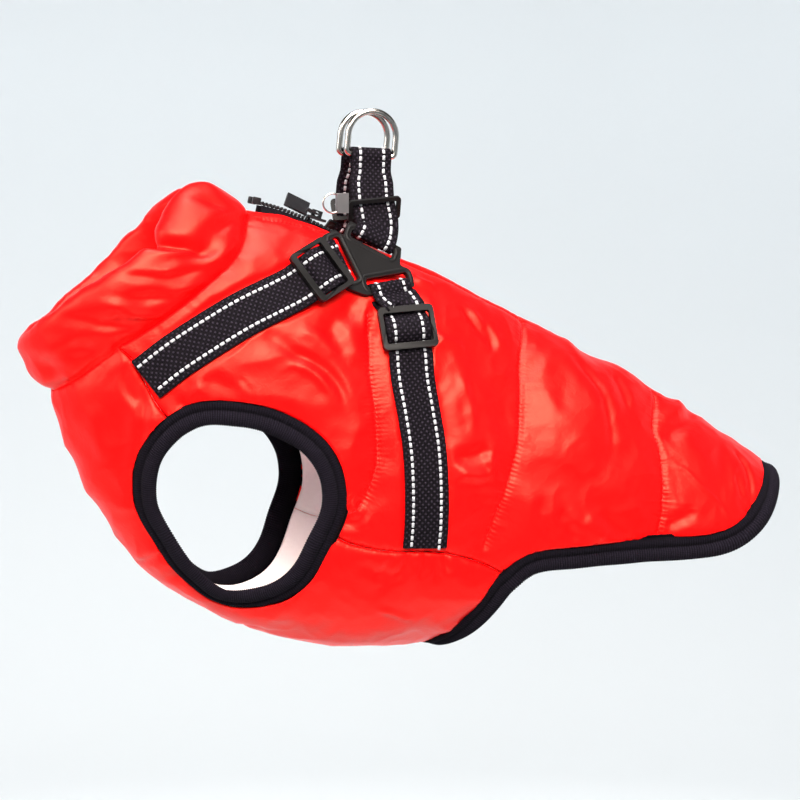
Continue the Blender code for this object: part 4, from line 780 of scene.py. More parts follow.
def fleece():
    """Brushed fleece: a short matt nap in soft clumps, pale, with a bright rim where it turns away."""
    made, tree, shader = finish("brushed fleece", roughness=1.0, sheen_weight=0.5, sheen_roughness=0.6)
    where = add(tree, "TexCoord")["Object"]
    clumps = add(tree, "TexNoise", {"Vector": where, "Scale": 1 / (2.6 * MM), "Detail": 4.0,
                                    "Roughness": 0.7})[0]
    tint(tree, shader, settings().cloth.lining_colour, clumps, 0.06)
    nap = add(tree, "TexNoise", {"Vector": where, "Scale": 1 / (0.6 * MM), "Detail": 2.0})[0]
    below = rough(tree, shader, clumps, 0.5, 0.6)
    rough(tree, shader, nap, 0.2, 0.7, below)
    return made


def woven_tape(name, colour_value, across, along, depth, change=0.5):
    """Woven tape: staggered pebbles of warp thread, across and along being their spacing in mm; every other
    pebble's top is painted lighter as a painted highlight, and the gaps and the other pebbles darker as painted
    shade.
    """
    made, tree, shader = finish(name, roughness=0.62, specular_ior_level=0.04)
    where = add(tree, "TexCoord")["UV"]
    parts = add(tree, "SeparateXYZ", {0: where})
    waves = []
    for output, pitch in ((parts[0], along), (parts[1], across)):
        turn = add(tree, "Math", {0: output, 1: math.pi / (pitch * MM)}, operation="MULTIPLY")[0]
        waves.append(add(tree, "Math", {0: turn}, operation="SINE")[0])
    both = add(tree, "Math", {0: waves[0], 1: waves[1]}, operation="MULTIPLY")[0]
    pebble = add(tree, "Math", {0: both}, operation="ABSOLUTE")[0]
    raised = add(tree, "Math", {0: pebble, 1: 0.7}, operation="POWER")[0]
    sign = add(tree, "Math", {0: both, 1: 0.45, 2: 0.5}, operation="MULTIPLY_ADD")[0]
    # shade is painted light: a painted highlight on the tops of every other pebble, painted shade in the gaps
    # and on the other pebbles; it is also the bump's height
    shade = add(tree, "Math", {0: raised, 1: sign, 2: 0.0}, operation="MULTIPLY")[0]
    tint(tree, shader, colour_value, shade, change)
    rough(tree, shader, shade, depth)
    return made


def moulded(name, colour_value, roughness=0.46):
    """Injection-moulded acetal: satin, with the faint texture of its mould and softly lit edges."""
    made, tree, shader = finish(name, roughness=roughness, specular_ior_level=0.16)
    where = add(tree, "TexCoord")["Object"]
    grain = add(tree, "TexNoise", {"Vector": where, "Scale": 1 / (0.7 * MM), "Detail": 2.0})[0]
    worn = add(tree, "TexNoise", {"Vector": where, "Scale": 1 / (9 * MM), "Detail": 3.0})[0]
    tint(tree, shader, colour_value, worn, 0.15)
    dull = add(tree, "MapRange", {0: worn, 3: roughness - 0.06, 4: roughness + 0.10})[0]
    tree.links.new(dull, shader.inputs["Roughness"])
    rough(tree, shader, grain, 0.03, 0.5)
    return made


def nickel(name="polished nickel plate", base="#cfcac4", roughness=0.16):
    """Nickel-plated steel: bright and slightly warm, with fine rubbing marks."""
    made, tree, shader = finish(name, roughness=roughness, metallic=1.0)
    where = add(tree, "TexCoord")["Object"]
    rub = add(tree, "TexNoise", {"Vector": where, "Scale": 1 / (4 * MM), "Detail": 4.0})[0]
    tint(tree, shader, linear(base), rub, 0.05)
    dull = add(tree, "MapRange", {0: rub, 3: roughness - 0.05, 4: roughness + 0.12})[0]
    tree.links.new(dull, shader.inputs["Roughness"])
    return made


# ---- shell, lining -------------------------------------------------------------------------------------
def segment_counts(step, spans):
    return [max(3, int(round(span / step)) + 1) for span in spans]


def back_edge(step):
    """The back panel's outer edge: front seam, armhole, side seam and hem."""
    front, arm, side, hem = segment_counts(step, (39, 150, 94, 215))
    return np.vstack([front_seam(front)[:-1], armhole_arc(ARMHOLE_FRONT, ARMHOLE_REAR, arm)[:-1],
                      side_seam(side)[:-1], hem_side(hem, upto=0.992)])


def back_places(step, rows):
    """(u, v) over the left back panel: columns along its edge, rows from the zip down."""
    edge = back_edge(step)
    share = np.linspace(0, 1, rows)[None, :]
    u_edge, v_edge = edge[:, :1], edge[:, 1:]
    fade = np.maximum(0.0, 1 - (u_edge - edge[0, 0]) / NECK_FADE)

    def bowed(v):
        return u_edge + (neck_u(np.minimum(v, NECK_V)) - edge[0, 0]) * fade

    v_top = opening_v(bowed(opening_v(u_edge)))
    v = v_top + (v_edge - EDGE_V - v_top) * share
    return bowed(v), v


def belly_places(step, rows):
    """(u, v, side) over the underside, from the left panel edge under the belly to the right one."""
    front, arm, side = segment_counts(step, (39, 215, 94))
    edge = np.vstack([front_seam(front)[:-1], armhole_arc(ARMHOLE_FRONT, 360 + ARMHOLE_REAR, arm)[:-1],
                      side_seam(side)])
    middle = np.concatenate([np.linspace(0.0, 1.2, front)[:-1], np.linspace(1.2, 5.3, arm)[:-1],
                             np.linspace(5.3, HEM_BELLY_U, side)])
    share = np.linspace(0, 1, rows)[None, :]
    v = edge[:, 1:] + EDGE_V + (1 - edge[:, 1:] - EDGE_V) * share
    u = edge[:, :1] + (middle[:, None] - edge[:, :1]) * share
    hem = hem_belly(rows)
    u[-1], v[-1] = hem[:, 0], hem[:, 1]
    both = [np.concatenate([part, part[:, -2::-1]], axis=1) for part in (u, v)]
    side = np.concatenate([np.full(u.shape, LEFT), np.full((len(u), rows - 1), RIGHT)], axis=1)
    return (*both, side)


def cloth_surface(name, u, v, side, lines, share, depth=0.0):
    """A panel over (u, v), lifted by a share of its folds and seams, and sunk by depth."""
    base, normals = torso(u, v, side), torso_normal(u, v, side)
    flat = base.reshape(-1, 3)
    height, near, place = relief(flat, lines, share)
    points = base + normals * (height.reshape(u.shape) - depth)[..., None]
    values = {"seam_near": near.reshape(u.shape), "seam_place": place.reshape(u.shape)}
    return surface(name, points, outwards=normals, values=values)


def panels(names, nodes, step, rows, lines, material, slot, thickness, share, depth=0.0):
    """The two back panels, from the zip down in rows, and the underside, with their walls."""
    made = []
    for name, side in SIDES.items():
        u, v = back_places(step, rows[0])
        mesh = cloth_surface(f"{names[0]}_{name}", u, v, np.full(u.shape, side), lines, share, depth)
        made.append(wall(piece(mesh.name, mesh, material, (f"{nodes[0]}_{name}",)), thickness))
    mesh = cloth_surface(names[1], *belly_places(step, rows[1]), lines, share, depth)
    return *made, wall(piece(mesh.name, mesh, material, (nodes[1],)), thickness)


SEWN_THROUGH = 2.0       # a row that sinks deeper than this is quilted through to the lining
STITCH = (1.7, 0.42, 0.42)
STITCH_PITCH = 2.7
STITCH_LIFT = 0.12


class JACKET_OT_shell(bpy.types.Operator):
    """Cut, quilt and crease the outer cloth: two back panels and the underside"""
    bl_idname = "jacket.shell"
    bl_label = "Shell"

    def execute(self, context):
        cloth = settings().cloth
        lines = cloth_lines()
        *backs, under = panels(("back_panel_cloth", "underside_cloth"), ("back_panel", "underside_panel"),
                               cloth.step / MM, (96, 66), lines, taffeta(), "shell", cloth.shell_wall,
                               cloth.fold_share)
        self.sew(lines)
        return {"FINISHED"}

    def sew(self, lines):
        """Thread along the quilting on both sides."""
        sewn, _, _ = lines
        cotton = thread("shell sewing thread", linear("#e8120e"))
        parts = []
        for line, sink, *_ in sewn:
            if sink < SEWN_THROUGH:
                continue
            near = line.uv[::3]
            normals = torso_normal(near[:, 0], near[:, 1], line.side)
            base = torso(near[:, 0], near[:, 1], line.side)
            height, _, _ = relief(base, lines, settings().cloth.fold_share)
            points = base + normals * (height + STITCH_LIFT)[:, None]
            parts.append(stitches(points, np.gradient(points, axis=0), normals, STITCH_PITCH, STITCH, "row"))
        piece("shell_stitches", joined("shell_stitches", parts), cotton)


class JACKET_OT_lining(bpy.types.Operator):
    """Hang the fleece lining behind the shell"""
    bl_idname = "jacket.lining"
    bl_label = "Lining"

    def execute(self, context):
        sewn, _, _ = cloth_lines()
        lines = ([row for row in sewn if row[1] > SEWN_THROUGH], [], [])
        *backs, under = panels(("lining_fleece", "lining_fleece_underside"),
                               ("lining_back", "lining_underside"), LINING_STEP, (48, 34), lines, fleece(),
                               "lining", LINING_WALL * MM, LINING_FOLDS, LINING_DEPTH)
        return {"FINISHED"}


# ---- ribbed bindings -----------------------------------------------------------------------------------
# a flat sewn band, a groove, then a ribbed roll; rib is the share of the ribs' height
RIB_PROFILE = table(
    "RibPoint", "across lift rib",
    (-0.2, -0.9, 0.0), (0.5, 0.6, 0.4), (2.4, 1.2, 0.7), (4.2, 0.9, 0.6), (4.9, 0.2, 0.3), (5.6, 0.9, 0.9),
    (7.4, 2.0, 1.0), (9.6, 2.2, 1.0), (11.6, 1.5, 1.0), (13.0, 0.1, 1.0), (13.2, -1.4, 1.0),
    (12.2, -2.7, 0.8), (9.0, -3.1, 0.5), (5.0, -3.1, 0.3), (1.0, -2.9, 0.0), (-1.8, -2.5, 0.0),
    (-1.8, -1.7, 0.0), (-0.6, -1.5, 0.0)
)
RIB_HEIGHT = 0.5
RIB_SAMPLES = 4
RIB_ROUND = 34.0         # once round the folded band


def rib_binding(name, uv, side, pitch):
    """A ribbed band beyond the panels' edge, round a closed loop of (u, v)."""
    loop = torso(uv[:, 0], uv[:, 1], side)
    ring = np.vstack([np.column_stack([uv, side, loop]), np.concatenate([uv[0], side[:1], loop[0]])])
    total = lengths(ring[:, 3:])[-1]
    ribs = int(round(total / pitch))
    count = ribs * RIB_SAMPLES + 1
    run = lengths(ring[:, 3:])
    wanted = np.linspace(0, total, count)
    places = between(run, ring, wanted)
    normals = torso_normal(places[:, 0], places[:, 1], np.where(places[:, 2] < 0, LEFT, RIGHT))
    normals[-1] = normals[0]
    points = places[:, 3:]
    reach = RIB_SAMPLES
    smooth = np.vstack([points[-reach - 1:-1], points, points[1:reach + 1]])
    tangents = unit(smooth[2 * reach:] - smooth[:-2 * reach])
    across = unit(np.cross(tangents, normals))
    profile = through(RIB_PROFILE, np.linspace(0, len(RIB_PROFILE), 25), closed=True)
    turn = np.roll(profile[:-1], -1, axis=0) - np.roll(profile[:-1], 1, axis=0)
    outward = unit(np.stack([-turn[:, 1], turn[:, 0]], axis=1))
    outward = np.vstack([outward, outward[:1]])
    wave = np.abs(np.sin(math.pi * np.arange(count) / RIB_SAMPLES)) - 0.5
    strain = 0.35 * np.sin(wanted * 0.21) + 0.25 * np.sin(wanted * 0.083 + 2)
    share = profile[None, :, 2]
    height = RIB_HEIGHT * wave[:, None] * share + 0.5 * strain[:, None] * share * 0.6
    a = profile[None, :, 0] + outward[None, :, 0] * height
    b = profile[None, :, 1] + outward[None, :, 1] * height
    a[-1], b[-1] = a[0], b[0]
    grid = points[:, None, :] + across[:, None, :] * a[..., None] + normals[:, None, :] * b[..., None]
    # painted light for the knit: high on the crests of the ribbed roll as a painted highlight, low in the
    # grooves and on the flat band as painted shade
    top = 0.15 + np.clip((wave[:, None] + 0.5) * share, 0.0, 1.0) * 0.85
    return surface(name, grid, spans=(total, RIB_ROUND), close_x=True, close_y=True, values={"rib_painted_light": top})


def armhole_loop():
    upper = armhole_arc(ARMHOLE_FRONT, ARMHOLE_REAR, 160)
    lower = armhole_arc(360 + ARMHOLE_REAR, ARMHOLE_FRONT, 220)
    return np.vstack([upper[:-1], lower[:-1]])


def hem_loop():
    half = np.vstack([hem_belly(70)[::-1], hem_side(220)[1:]])
    loop = np.vstack([half, half[-2:0:-1]])
    side = np.concatenate([np.full(len(half), LEFT), np.full(len(half) - 2, RIGHT)])
    return loop, side


class JACKET_OT_bindings(bpy.types.Operator):
    """Knit the ribbed bands of the armholes and the hem"""
    bl_idname = "jacket.bindings"
    bl_label = "Bindings"

    def execute(self, context):
        pitch = settings().cloth.rib_pitch / MM
        knit = rib_knit()
        loop = armhole_loop()
        mesh = rib_binding("armhole_knit_left", loop, np.full(len(loop), LEFT), pitch)
        other = mirrored(mesh, "armhole_knit_right")
        for name, part in (("left", mesh), ("right", other)):
            band = piece(part.name, part, knit, (f"armhole_rib_{name}",))
        loop, side = hem_loop()
        mesh = rib_binding("hem_knit", loop, side, pitch)
        band = piece("hem_knit", mesh, knit, ("hem_rib",))
        return {"FINISHED"}


# ---- collar --------------------------------------------------------------------------------------------
# the rim's place from the neck seam
COLLAR_LEFT = table(
    "CollarStation", "v forward up puff",
    (0.050, 26, 16, 2.5), (0.11, 34, 17, 6.5), (0.19, 43, 13, 8.0), (0.27, 45, 9, 7.0), (0.33, 38, 10, 3.5),
    (0.38, 36, 17, 3.5), (0.50, 28, 24, 4.5), (0.65, 20, 30, 4.5), (0.80, 17, 32, 4.0), (1.00, 15, 29, 3.5)
)
COLLAR_RIGHT = table(
    "CollarStation", "v forward up puff",
    (0.050, 28, 12, 2.5), (0.11, 34, 12.5, 7.0), (0.19, 38, 14.5, 8.0), (0.27, 41, 16.5, 7.0),
    (0.36, 38, 19, 5.5), (0.46, 29, 22, 4.5), (0.62, 13, 29, 4.5), (0.80, 10, 33, 4.0), (1.00, 15, 29, 3.5)
)
COLLAR_SECTION = table(
    "SectionPoint", "along puff lift",
    (0.00, 0.0, -0.6), (0.10, 0.35, 0.5), (0.25, 0.7, 1.0), (0.50, 1.0, 1.2), (0.78, 0.9, 1.0),
    (0.95, 0.45, 0.0), (1.00, 0.0, -2.8), (0.95, 0.0, -6.4), (0.75, -0.2, -8.4), (0.45, -0.2, -8.0),
    (0.15, 0.0, -6.0), (0.00, 0.0, -4.6), (-0.08, 0.0, -3.2), (-0.08, 0.0, -1.9)
)
# round the neck from the zip, and up from the neck seam as a share of the collar
COLLAR_FOLDS = table(
    "CollarFold", "v along height round_reach up_reach tilt",
    (0.170, 0.50, -1.6, 2.6, 0.20, 0.0), (0.200, 0.36, 1.6, 5.0, 0.10, 0.5),
    (0.225, 0.28, -2.2, 7.0, 0.08, 0.9), (0.315, 0.74, -3.6, 4.0, 0.34, 0.0),
    (0.300, 0.40, -3.4, 13.0, 0.13, 0.35), (0.345, 0.62, 2.0, 9.0, 0.12, 0.5),
    (0.330, 0.18, 1.8, 12.0, 0.09, 0.3), (0.400, 0.34, -2.6, 12.0, 0.11, 0.4),
    (0.420, 0.52, 1.7, 8.0, 0.09, 0.7), (0.440, 0.17, 1.4, 9.0, 0.08, 0.5),
    (0.470, 0.70, -1.6, 8.0, 0.10, 0.6), (0.510, 0.40, -3.0, 11.0, 0.12, 0.5),
    (0.550, 0.24, 1.6, 7.0, 0.08, 0.9), (0.580, 0.58, 1.5, 9.0, 0.10, 0.4),
    (0.620, 0.36, -2.4, 9.0, 0.11, 0.6), (0.680, 0.70, -1.6, 8.0, 0.10, 0.5),
    (0.720, 0.30, -1.8, 8.0, 0.12, 0.6), (0.780, 0.55, 1.4, 8.0, 0.12, 0.3),
    (0.850, 0.34, -1.6, 8.0, 0.14, 0.2), (0.930, 0.60, -1.2, 8.0, 0.16, 0.1)
)


def collar_half(v, table, side, section):
    """Points of the padded collar, round the neck by round its section."""
    station = at_column(table, "v", v)
    reach = np.stack([-station[:, 1], np.zeros(len(v)), station[:, 2]], axis=1)
    width, along, puff = np.linalg.norm(reach, axis=1), unit(reach), station[:, 3]
    u = neck_u(v) - COLLAR_SEAM_U
    base, normal = torso(u, v, side), torso_normal(u, v, side)
    outward = unit(normal - along * (normal * along).sum(axis=1, keepdims=True))
    run = lengths(base)
    rise = section[None, :, 2] + section[None, :, 1] * puff[:, None]
    outer = np.clip(section[:, 2] + 3.0, 0.0, 3.0)[None, :] / 3.0
    for number, fold in enumerate(COLLAR_FOLDS):
        place = fold.v + (0.03 * math.sin(2.2 * number) if side == RIGHT else 0.0)
        gap = run[:, None] - np.interp(place, v, run)
        up = (section[None, :, 0] - fold.along - fold.tilt * gap / width[:, None]) / fold.up_reach
        rise = rise + 1.15 * outer * fold.height * np.exp(-(gap / fold.round_reach) ** 2 - up ** 2)
    rise = rise + 0.5 * outer * np.sin(run[:, None] / 5.3 + 2 * np.sin(run[:, None] * 0.11)) \
        * np.exp(-(section[None, :, 0] / 0.22) ** 2)
    return (base[:, None, :] + along[:, None, :] * (width[:, None] * section[None, :, 0])[..., None]
            + outward[:, None, :] * rise[..., None])


CAP_STEPS = (0.12, 0.35, 0.62, 0.85, 0.97)
CAP_DEPTH = 3.0
COLLAR_SWELLS = ((1.0, 22, 3), (0.6, 21, 8), (0.14, 10, 4))      # height, width and seed


class JACKET_OT_collar(bpy.types.Operator):
    """Pad the stand collar, with its lobes beside the zip and its creases"""
    bl_idname = "jacket.collar"
    bl_label = "Collar"

    def execute(self, context):
        section = through(COLLAR_SECTION, np.linspace(0, len(COLLAR_SECTION), 61), closed=True)
        v = np.linspace(COLLAR_LEFT[0].v, 1.0, 150)
        left = collar_half(v, COLLAR_LEFT, LEFT, section)
        right = collar_half(v, COLLAR_RIGHT, RIGHT, section)
        points = self.round_ends(np.concatenate([left, right[-2::-1]], axis=0))
        flat = points.reshape(-1, 3)
        centre = points.mean(axis=1, keepdims=True)
        makers = (wander, crumple, crumple)
        swell = sum(tall * maker(flat, wide, seed) for maker, (tall, wide, seed) in zip(makers, COLLAR_SWELLS))
        points = points + unit(points - centre) * swell.reshape(points.shape[:2])[..., None]
        points[:, -1] = points[:, 0]
        points[0], points[-1] = points[0].mean(axis=0), points[-1].mean(axis=0)
        mesh = surface("collar_padded", points, close_y=True)
        for key in ("seam_near", "seam_place"):      # the collar has no sewn rows of its own
            mesh.attributes.new(key, "FLOAT", "POINT")
        red = bpy.data.materials["quilted polyester taffeta"]
        padded = piece("collar_padded", mesh, red, ("collar",))
        return {"FINISHED"}

    def round_ends(self, points):
        """Closes each end of the tube with a soft cap over a few stations."""
        for end, inner in ((0, 1), (-1, -2)):
            centre = points[end].mean(axis=0)
            outwards = unit(points[end] - points[inner]).mean(axis=0)
            rings = []
            for step in CAP_STEPS:
                shrink, push = math.cos(step * math.pi / 2), CAP_DEPTH * math.sin(step * math.pi / 2)
                rings.append(centre + (points[end] - centre) * shrink + outwards * push)
            rings.append(np.broadcast_to(centre + outwards * CAP_DEPTH, points[end].shape))
            rings = np.array(rings)
            points = np.concatenate([rings[::-1], points] if end == 0 else [points, rings], axis=0)
        return points


# ---- zip -----------------------------------------------------------------------------------------------
TAPE_WALL = 0.7
TAPE_TUCK, TAPE_DROP = 1.6, 1.9      # how far the tape runs on under the panel
TAPE_REACH = 0.86                    # share of the way to the teeth


def zip_point(u, share, side):
    """Points of the zip tape: share 0 at the panel edge, 1 at the teeth."""
    u = np.atleast_1d(u)
    _, opening, chain_y, rise = at_column(ZIP, "u", u).T
    edge = torso(u, opening / (math.pi * through(RINGS, u)[:, 4]), side)
    ridge = torso(u, np.zeros(len(u)), side)
    zero = np.zeros(len(u))
    start = edge + np.stack([zero, zero + side * TAPE_TUCK, zero - TAPE_DROP], axis=1)
    end = ridge + np.stack([zero, side * chain_y, rise], axis=1)
    return start + (end - start) * share


TOOTH = (1.15, 3.0, 1.9)
TOOTH_INSET = 0.35


class JACKET_OT_zip(bpy.types.Operator):
    """Weave the zip's tapes and set its teeth, slider, stops and pull"""
    bl_idname = "jacket.zip"
    bl_label = "Zip"

    def execute(self, context):
        look = settings().zip
        tape = woven_tape("woven zip tape", look.tape_colour, 0.7, 0.7, 0.12)
        teeth = moulded("moulded zip teeth", look.tooth_colour, 0.3)
        u = np.linspace(ZIP[0].u, ZIP_END_U, 900)
        for name, side in SIDES.items():
            self.tape(name, side, tape)
            chain = zip_point(u, 1.0, side)
            run = lengths(chain)
            pitch = look.tooth_pitch / MM
            first = 0.3 * pitch if side == LEFT else 0.8 * pitch
            matrices = []
            for place in np.arange(first, run[-1], pitch):
                here, ahead, behind = (between(run, chain, s) for s in (
                    place, min(place + 1, run[-1]), max(place - 1, 0)))
                here[1] -= side * TOOTH_INSET
                matrices.append(axes(here, ahead - behind, (0, 0, 1)))
            mesh = repeated(f"zip_teeth_{name}", pillow(TOOTH, 0.3), matrices)
            piece(mesh.name, mesh, teeth, (f"zip_chain_{name}",))
            fitting(f"zip_stop_{name}", f"zip_stop_block_{name}", teeth, 0.35)
        black = moulded("painted zip slider", look.tooth_colour, 0.32)
        fitting("zip_slider", "zip_slider_body", black, 0.25)
        fitting("zip_pull", "zip_pull_tab", black, 0.35, body="pull")
        return {"FINISHED"}

    def tape(self, name, side, tape):
        u = np.linspace(ZIP[0].u, ZIP_END_U, 260)
        start, end = zip_point(u, 0.0, side), zip_point(u, 1.0, side)
        share = np.linspace(0, 1, 8)[None, :, None] * TAPE_REACH
        points = start[:, None, :] + (end - start)[:, None, :] * share
        points[:, :, 2] += 0.25 * np.sin(np.arange(len(u)) / 9.0)[:, None] * (1 - share[..., 0])
        upward = np.zeros(points.shape)
        upward[..., 2] = 1.0
        mesh = surface(f"zip_tape_cloth_{name}", points, outwards=upward)
        made = wall(piece(mesh.name, mesh, tape, (f"zip_tape_{name}",)), TAPE_WALL * MM)


def fitting(node, name, material, edge, body=BODY):
    """A hard piece: the CAD node's own shape with its edges rounded."""
    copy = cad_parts[node].data.copy()
    bm = bmesh.new()
    bm.from_mesh(copy)
    bmesh.ops.remove_doubles(bm, verts=bm.verts[:], dist=0.00001)
    bmesh.ops.dissolve_limit(bm, angle_limit=math.radians(1.0), verts=bm.verts[:], edges=bm.edges[:])
    bm.to_mesh(copy)
    bm.free()
    made = piece(name, copy, material, (node,), body)
    bevel = made.modifiers.new("rounded", "BEVEL")
    bevel.width = edge * MM
    bevel.segments = 3
    bevel.limit_method = "ANGLE"
    bevel.angle_limit = math.radians(35)
    copy.shade_smooth()
    copy.set_sharp_from_angle(angle=math.radians(50))
    return made


# ---- harness -------------------------------------------------------------------------------------------
PLATE_CENTRE = Vector((-3.4, -31.5, -0.6))
PLATE_YAW = math.radians(12)
PLATE_LEAN = math.radians(26)
Slot = namedtuple("Slot", "a b turn length")
CHEST_SLOT = Slot(-17.2, 1.7, -74, 26.8)
RING_SLOT = Slot(1.5, 10.5, -31, 26.8)
GIRTH_SLOT = Slot(6.0, -11.5, 8, 26.4)
SLOT_WIDTH = 5.6
BAR_WIDTH = 3.6
ADJUSTER_LENGTH = 24.5
ADJUSTER_WALL = 3.0
CHEST_START, CHEST_RISE = 1.6, 5.2
GIRTH_START, GIRTH_RISE = 15.0, 3.0
LEAD = 3.4
STRAIGHT = 3.6
RING_BAR = Vector((1.0, -9.5, 58.2))
RING_BAR_SLOPE = math.radians(5.5)
RING_WEB_WIDTH = 22.6
PINCH_START, PINCH_RUN = 10.0, 6.0      # below the ring's bar the strap narrows
DASH = (2.7, 1.6, 0.7)
KEEPER_START = 10.6
KEEPER_LENGTH = 13.4
LAYER = 1.0

BAR_LOOP = ((2.2, -2.8), (0.0, -2.85), (-2.0, -2.5), (-3.1, -1.5), (-3.5, 0.0), (-3.1, 1.5), (-2.0, 2.5),
            (0.0, 2.85))
THREAD = ((1.7, 0.0), (4.0, 0.1), (6.8, 2.9), (9.6, 4.3), (12.2, 4.4), (14.8, 4.3), (17.6, 2.9), (20.4, 0.1),
          (22.7, 0.0))
TAIL = ((13.4, -0.2), (10.6, -0.5), (7.2, -3.8))


def plate_axes():
    """Along the back, up the plate and out of it."""
    along = Vector((math.cos(PLATE_YAW), math.sin(PLATE_YAW), 0.0))
    flat = math.cos(PLATE_LEAN)
    outward = Vector((math.sin(PLATE_YAW) * flat, -math.cos(PLATE_YAW) * flat, math.sin(PLATE_LEAN)))
    return along, outward.cross(along), outward


def plate_direction(degrees):
    along, up, _ = plate_axes()
    return along * math.cos(math.radians(degrees)) + up * math.sin(math.radians(degrees))


def cloth_station(x, z, lift, roll, across):
    """A station of a strap on the cloth: its point, outward normal and width direction."""
    (u, v), = torso_place((x, z))
    normal = Vector(torso_normal(u, v, LEFT))
    width = Vector((across[0], 0.0, across[1]))
    width = (width - normal * width.dot(normal)).normalized()
    turn = Matrix.Rotation(math.radians(roll), 3, width.cross(normal))
    return Vector(torso(u, v, LEFT)) + normal * lift, turn @ normal, turn @ width


def plate_station(slot, side, beyond=0.0):
    """The middle of the bar beside a slot, or a place beyond it."""
    along, up, outward = plate_axes()
    offset = side * ((SLOT_WIDTH + BAR_WIDTH) / 2 + beyond)
    point = PLATE_CENTRE + along * slot.a + up * slot.b + plate_direction(slot.turn + 90) * offset
    return point, outward, plate_direction(slot.turn)


def keyed(rows, keys, t):
    """Smooth curve through rows at uneven keys, with no overshoot beside a short step."""
    slopes = np.diff(rows, axis=0) / np.diff(keys)[:, None]
    before, after = np.diff(keys)[:-1, None], np.diff(keys)[1:, None]
    inner = (slopes[:-1] * after + slopes[1:] * before) / (before + after)
    tangents = np.vstack([slopes[:1], inner, slopes[-1:]])
    k = np.clip(np.searchsorted(keys, t, side="right") - 1, 0, len(keys) - 2)
    gap = (keys[k + 1] - keys[k])[:, None]
    s = (t - keys[k])[:, None] / gap
    return (rows[k] * (2 * s ** 3 - 3 * s ** 2 + 1) + tangents[k] * gap * (s ** 3 - 2 * s ** 2 + s)
            + rows[k + 1] * (3 * s ** 2 - 2 * s ** 3) + tangents[k + 1] * gap * (s ** 3 - s ** 2))


class Route:
    """A strap's middle line, with the outward and width directions along it; it runs straight along flat."""

    def __init__(self, stations, flat):
        table = np.array([[*point, *normal, *width] for point, normal, width in stations])
        keys = lengths(table[:, :3])
        fine = keyed(table, keys, np.linspace(0, keys[-1], 24 * len(table)))
        self.run = lengths(fine[:, :3])
        self.table = fine
        self.length = self.run[-1]
        self.flat = flat

    def row(self, s):
        return between(self.run, self.table, s)

    def at(self, s):
        """Point, outward normal and width direction at a distance along the strap."""
        inside = min(max(s, 0.0), self.length)
        low, high = max(inside - 0.5, 0.0), min(inside + 0.5, self.length)
        middle = self.row(inside)
        if self.flat[0] <= inside <= self.flat[1]:
            low, high = self.flat
            middle = self.row(low) + (self.row(high) - self.row(low)) * (inside - low) / (high - low)
        behind, ahead = self.row(low), self.row(high)
        tangent = Vector(ahead[:3] - behind[:3]).normalized()
        width = Vector(behind[6:9] + ahead[6:9]).normalized()
        square = min(max(s / self.flat[0], 0.0), 1.0)
        width = (width - tangent * width.dot(tangent) * square).normalized()
        normal = tangent.cross(width).normalized()
        if normal.dot(Vector(middle[3:6])) < 0:
            normal = -normal
        return Vector(middle[:3]) + tangent * (s - inside), normal, width


def chest_route():
    return Route((
        plate_station(CHEST_SLOT, -1.0), plate_station(CHEST_SLOT, -1.0, LEAD),
        *(cloth_station(*row) for row in CHEST_STATIONS),
    ), flat=(CHEST_START - 1.0, CHEST_START + ADJUSTER_LENGTH + STRAIGHT))


def girth_route():
    return Route((
        plate_station(GIRTH_SLOT, -1.0), plate_station(GIRTH_SLOT, -1.0, LEAD),
        *(cloth_station(*row) for row in GIRTH_STATIONS),
    ), flat=(GIRTH_START - STRAIGHT, GIRTH_START + ADJUSTER_LENGTH + STRAIGHT))


def ring_route():
    _, _, outward = plate_axes()
    top_width = Vector((math.cos(RING_BAR_SLOPE), 0.0, -math.sin(RING_BAR_SLOPE)))
    bottom = plate_station(RING_SLOT, 1.0)
    middle = (bottom[0].lerp(RING_BAR, 0.52), outward, (bottom[2] * 0.35 + top_width * 0.65).normalized())
    return Route((bottom, plate_station(RING_SLOT, 1.0, LEAD), middle, (RING_BAR, outward, top_width)),
                 flat=(KEEPER_START - 1.0, KEEPER_START + KEEPER_LENGTH + 1.0))


def adjuster_path(start, rise, reach):
    """Webbing from under the adjuster's middle bar, round the plate's bar and back through the adjuster."""
    under = rise - ADJUSTER_WALL / 2 - 0.4 - 0.8
    path = [(start + s, under + height if under > 1 or height > -1 else -2.2) for s, height in TAIL]
    path += [(s, -2.8) for s in np.linspace(start + 2.6, 4.4, 1 + round(start / 10))]
    path += list(BAR_LOOP)
    if start > 8.0:
        path += [(3.5, 2.2), (8.0, 1.4), (start - 2.5, under + 0.3)]
    path += [(start + s, under + height) for s, height in THREAD]
    path.append((start + 27.0, under * 0.5))
    settled = start + 32.0
    path += [(s, 0.0) for s in np.linspace(settled, reach, max(4, round((reach - settled) / 11) + 1))]
    return path


def ring_path(top):
    """Both layers of the ring strap, round the ring's bar at the top and the junction's bar below."""
    low, high = KEEPER_START + 2.4, KEEPER_START + KEEPER_LENGTH - 2.4
    sway = ((6.0, 0.9), (low, 0.4), (high, -0.4), (high + 5.0, 0.0))
    front = [(s, LAYER + shift) for s, shift in sway]
    back = [(s, -LAYER + shift) for s, shift in reversed(sway[1:])] + [(6.0, -LAYER - 0.9)]
    over = [(top - 11.0, LAYER), (top - 6.5, 1.7), (top - 2.8, 2.9), (top, 3.35), (top + 2.3, 2.6),
            (top + 3.4, 0.0), (top + 2.3, -2.6), (top, -3.35), (top - 2.8, -2.9), (top - 6.5, -1.7),
            (top - 11.0, -LAYER)]
    below = [(2.2, -2.75), (-1.4, -2.85), (-2.9, -1.7), (-3.4, 0.0), (-2.9, 1.7), (-1.4, 2.85), (2.2, 2.75)]
    return front + over + back + below


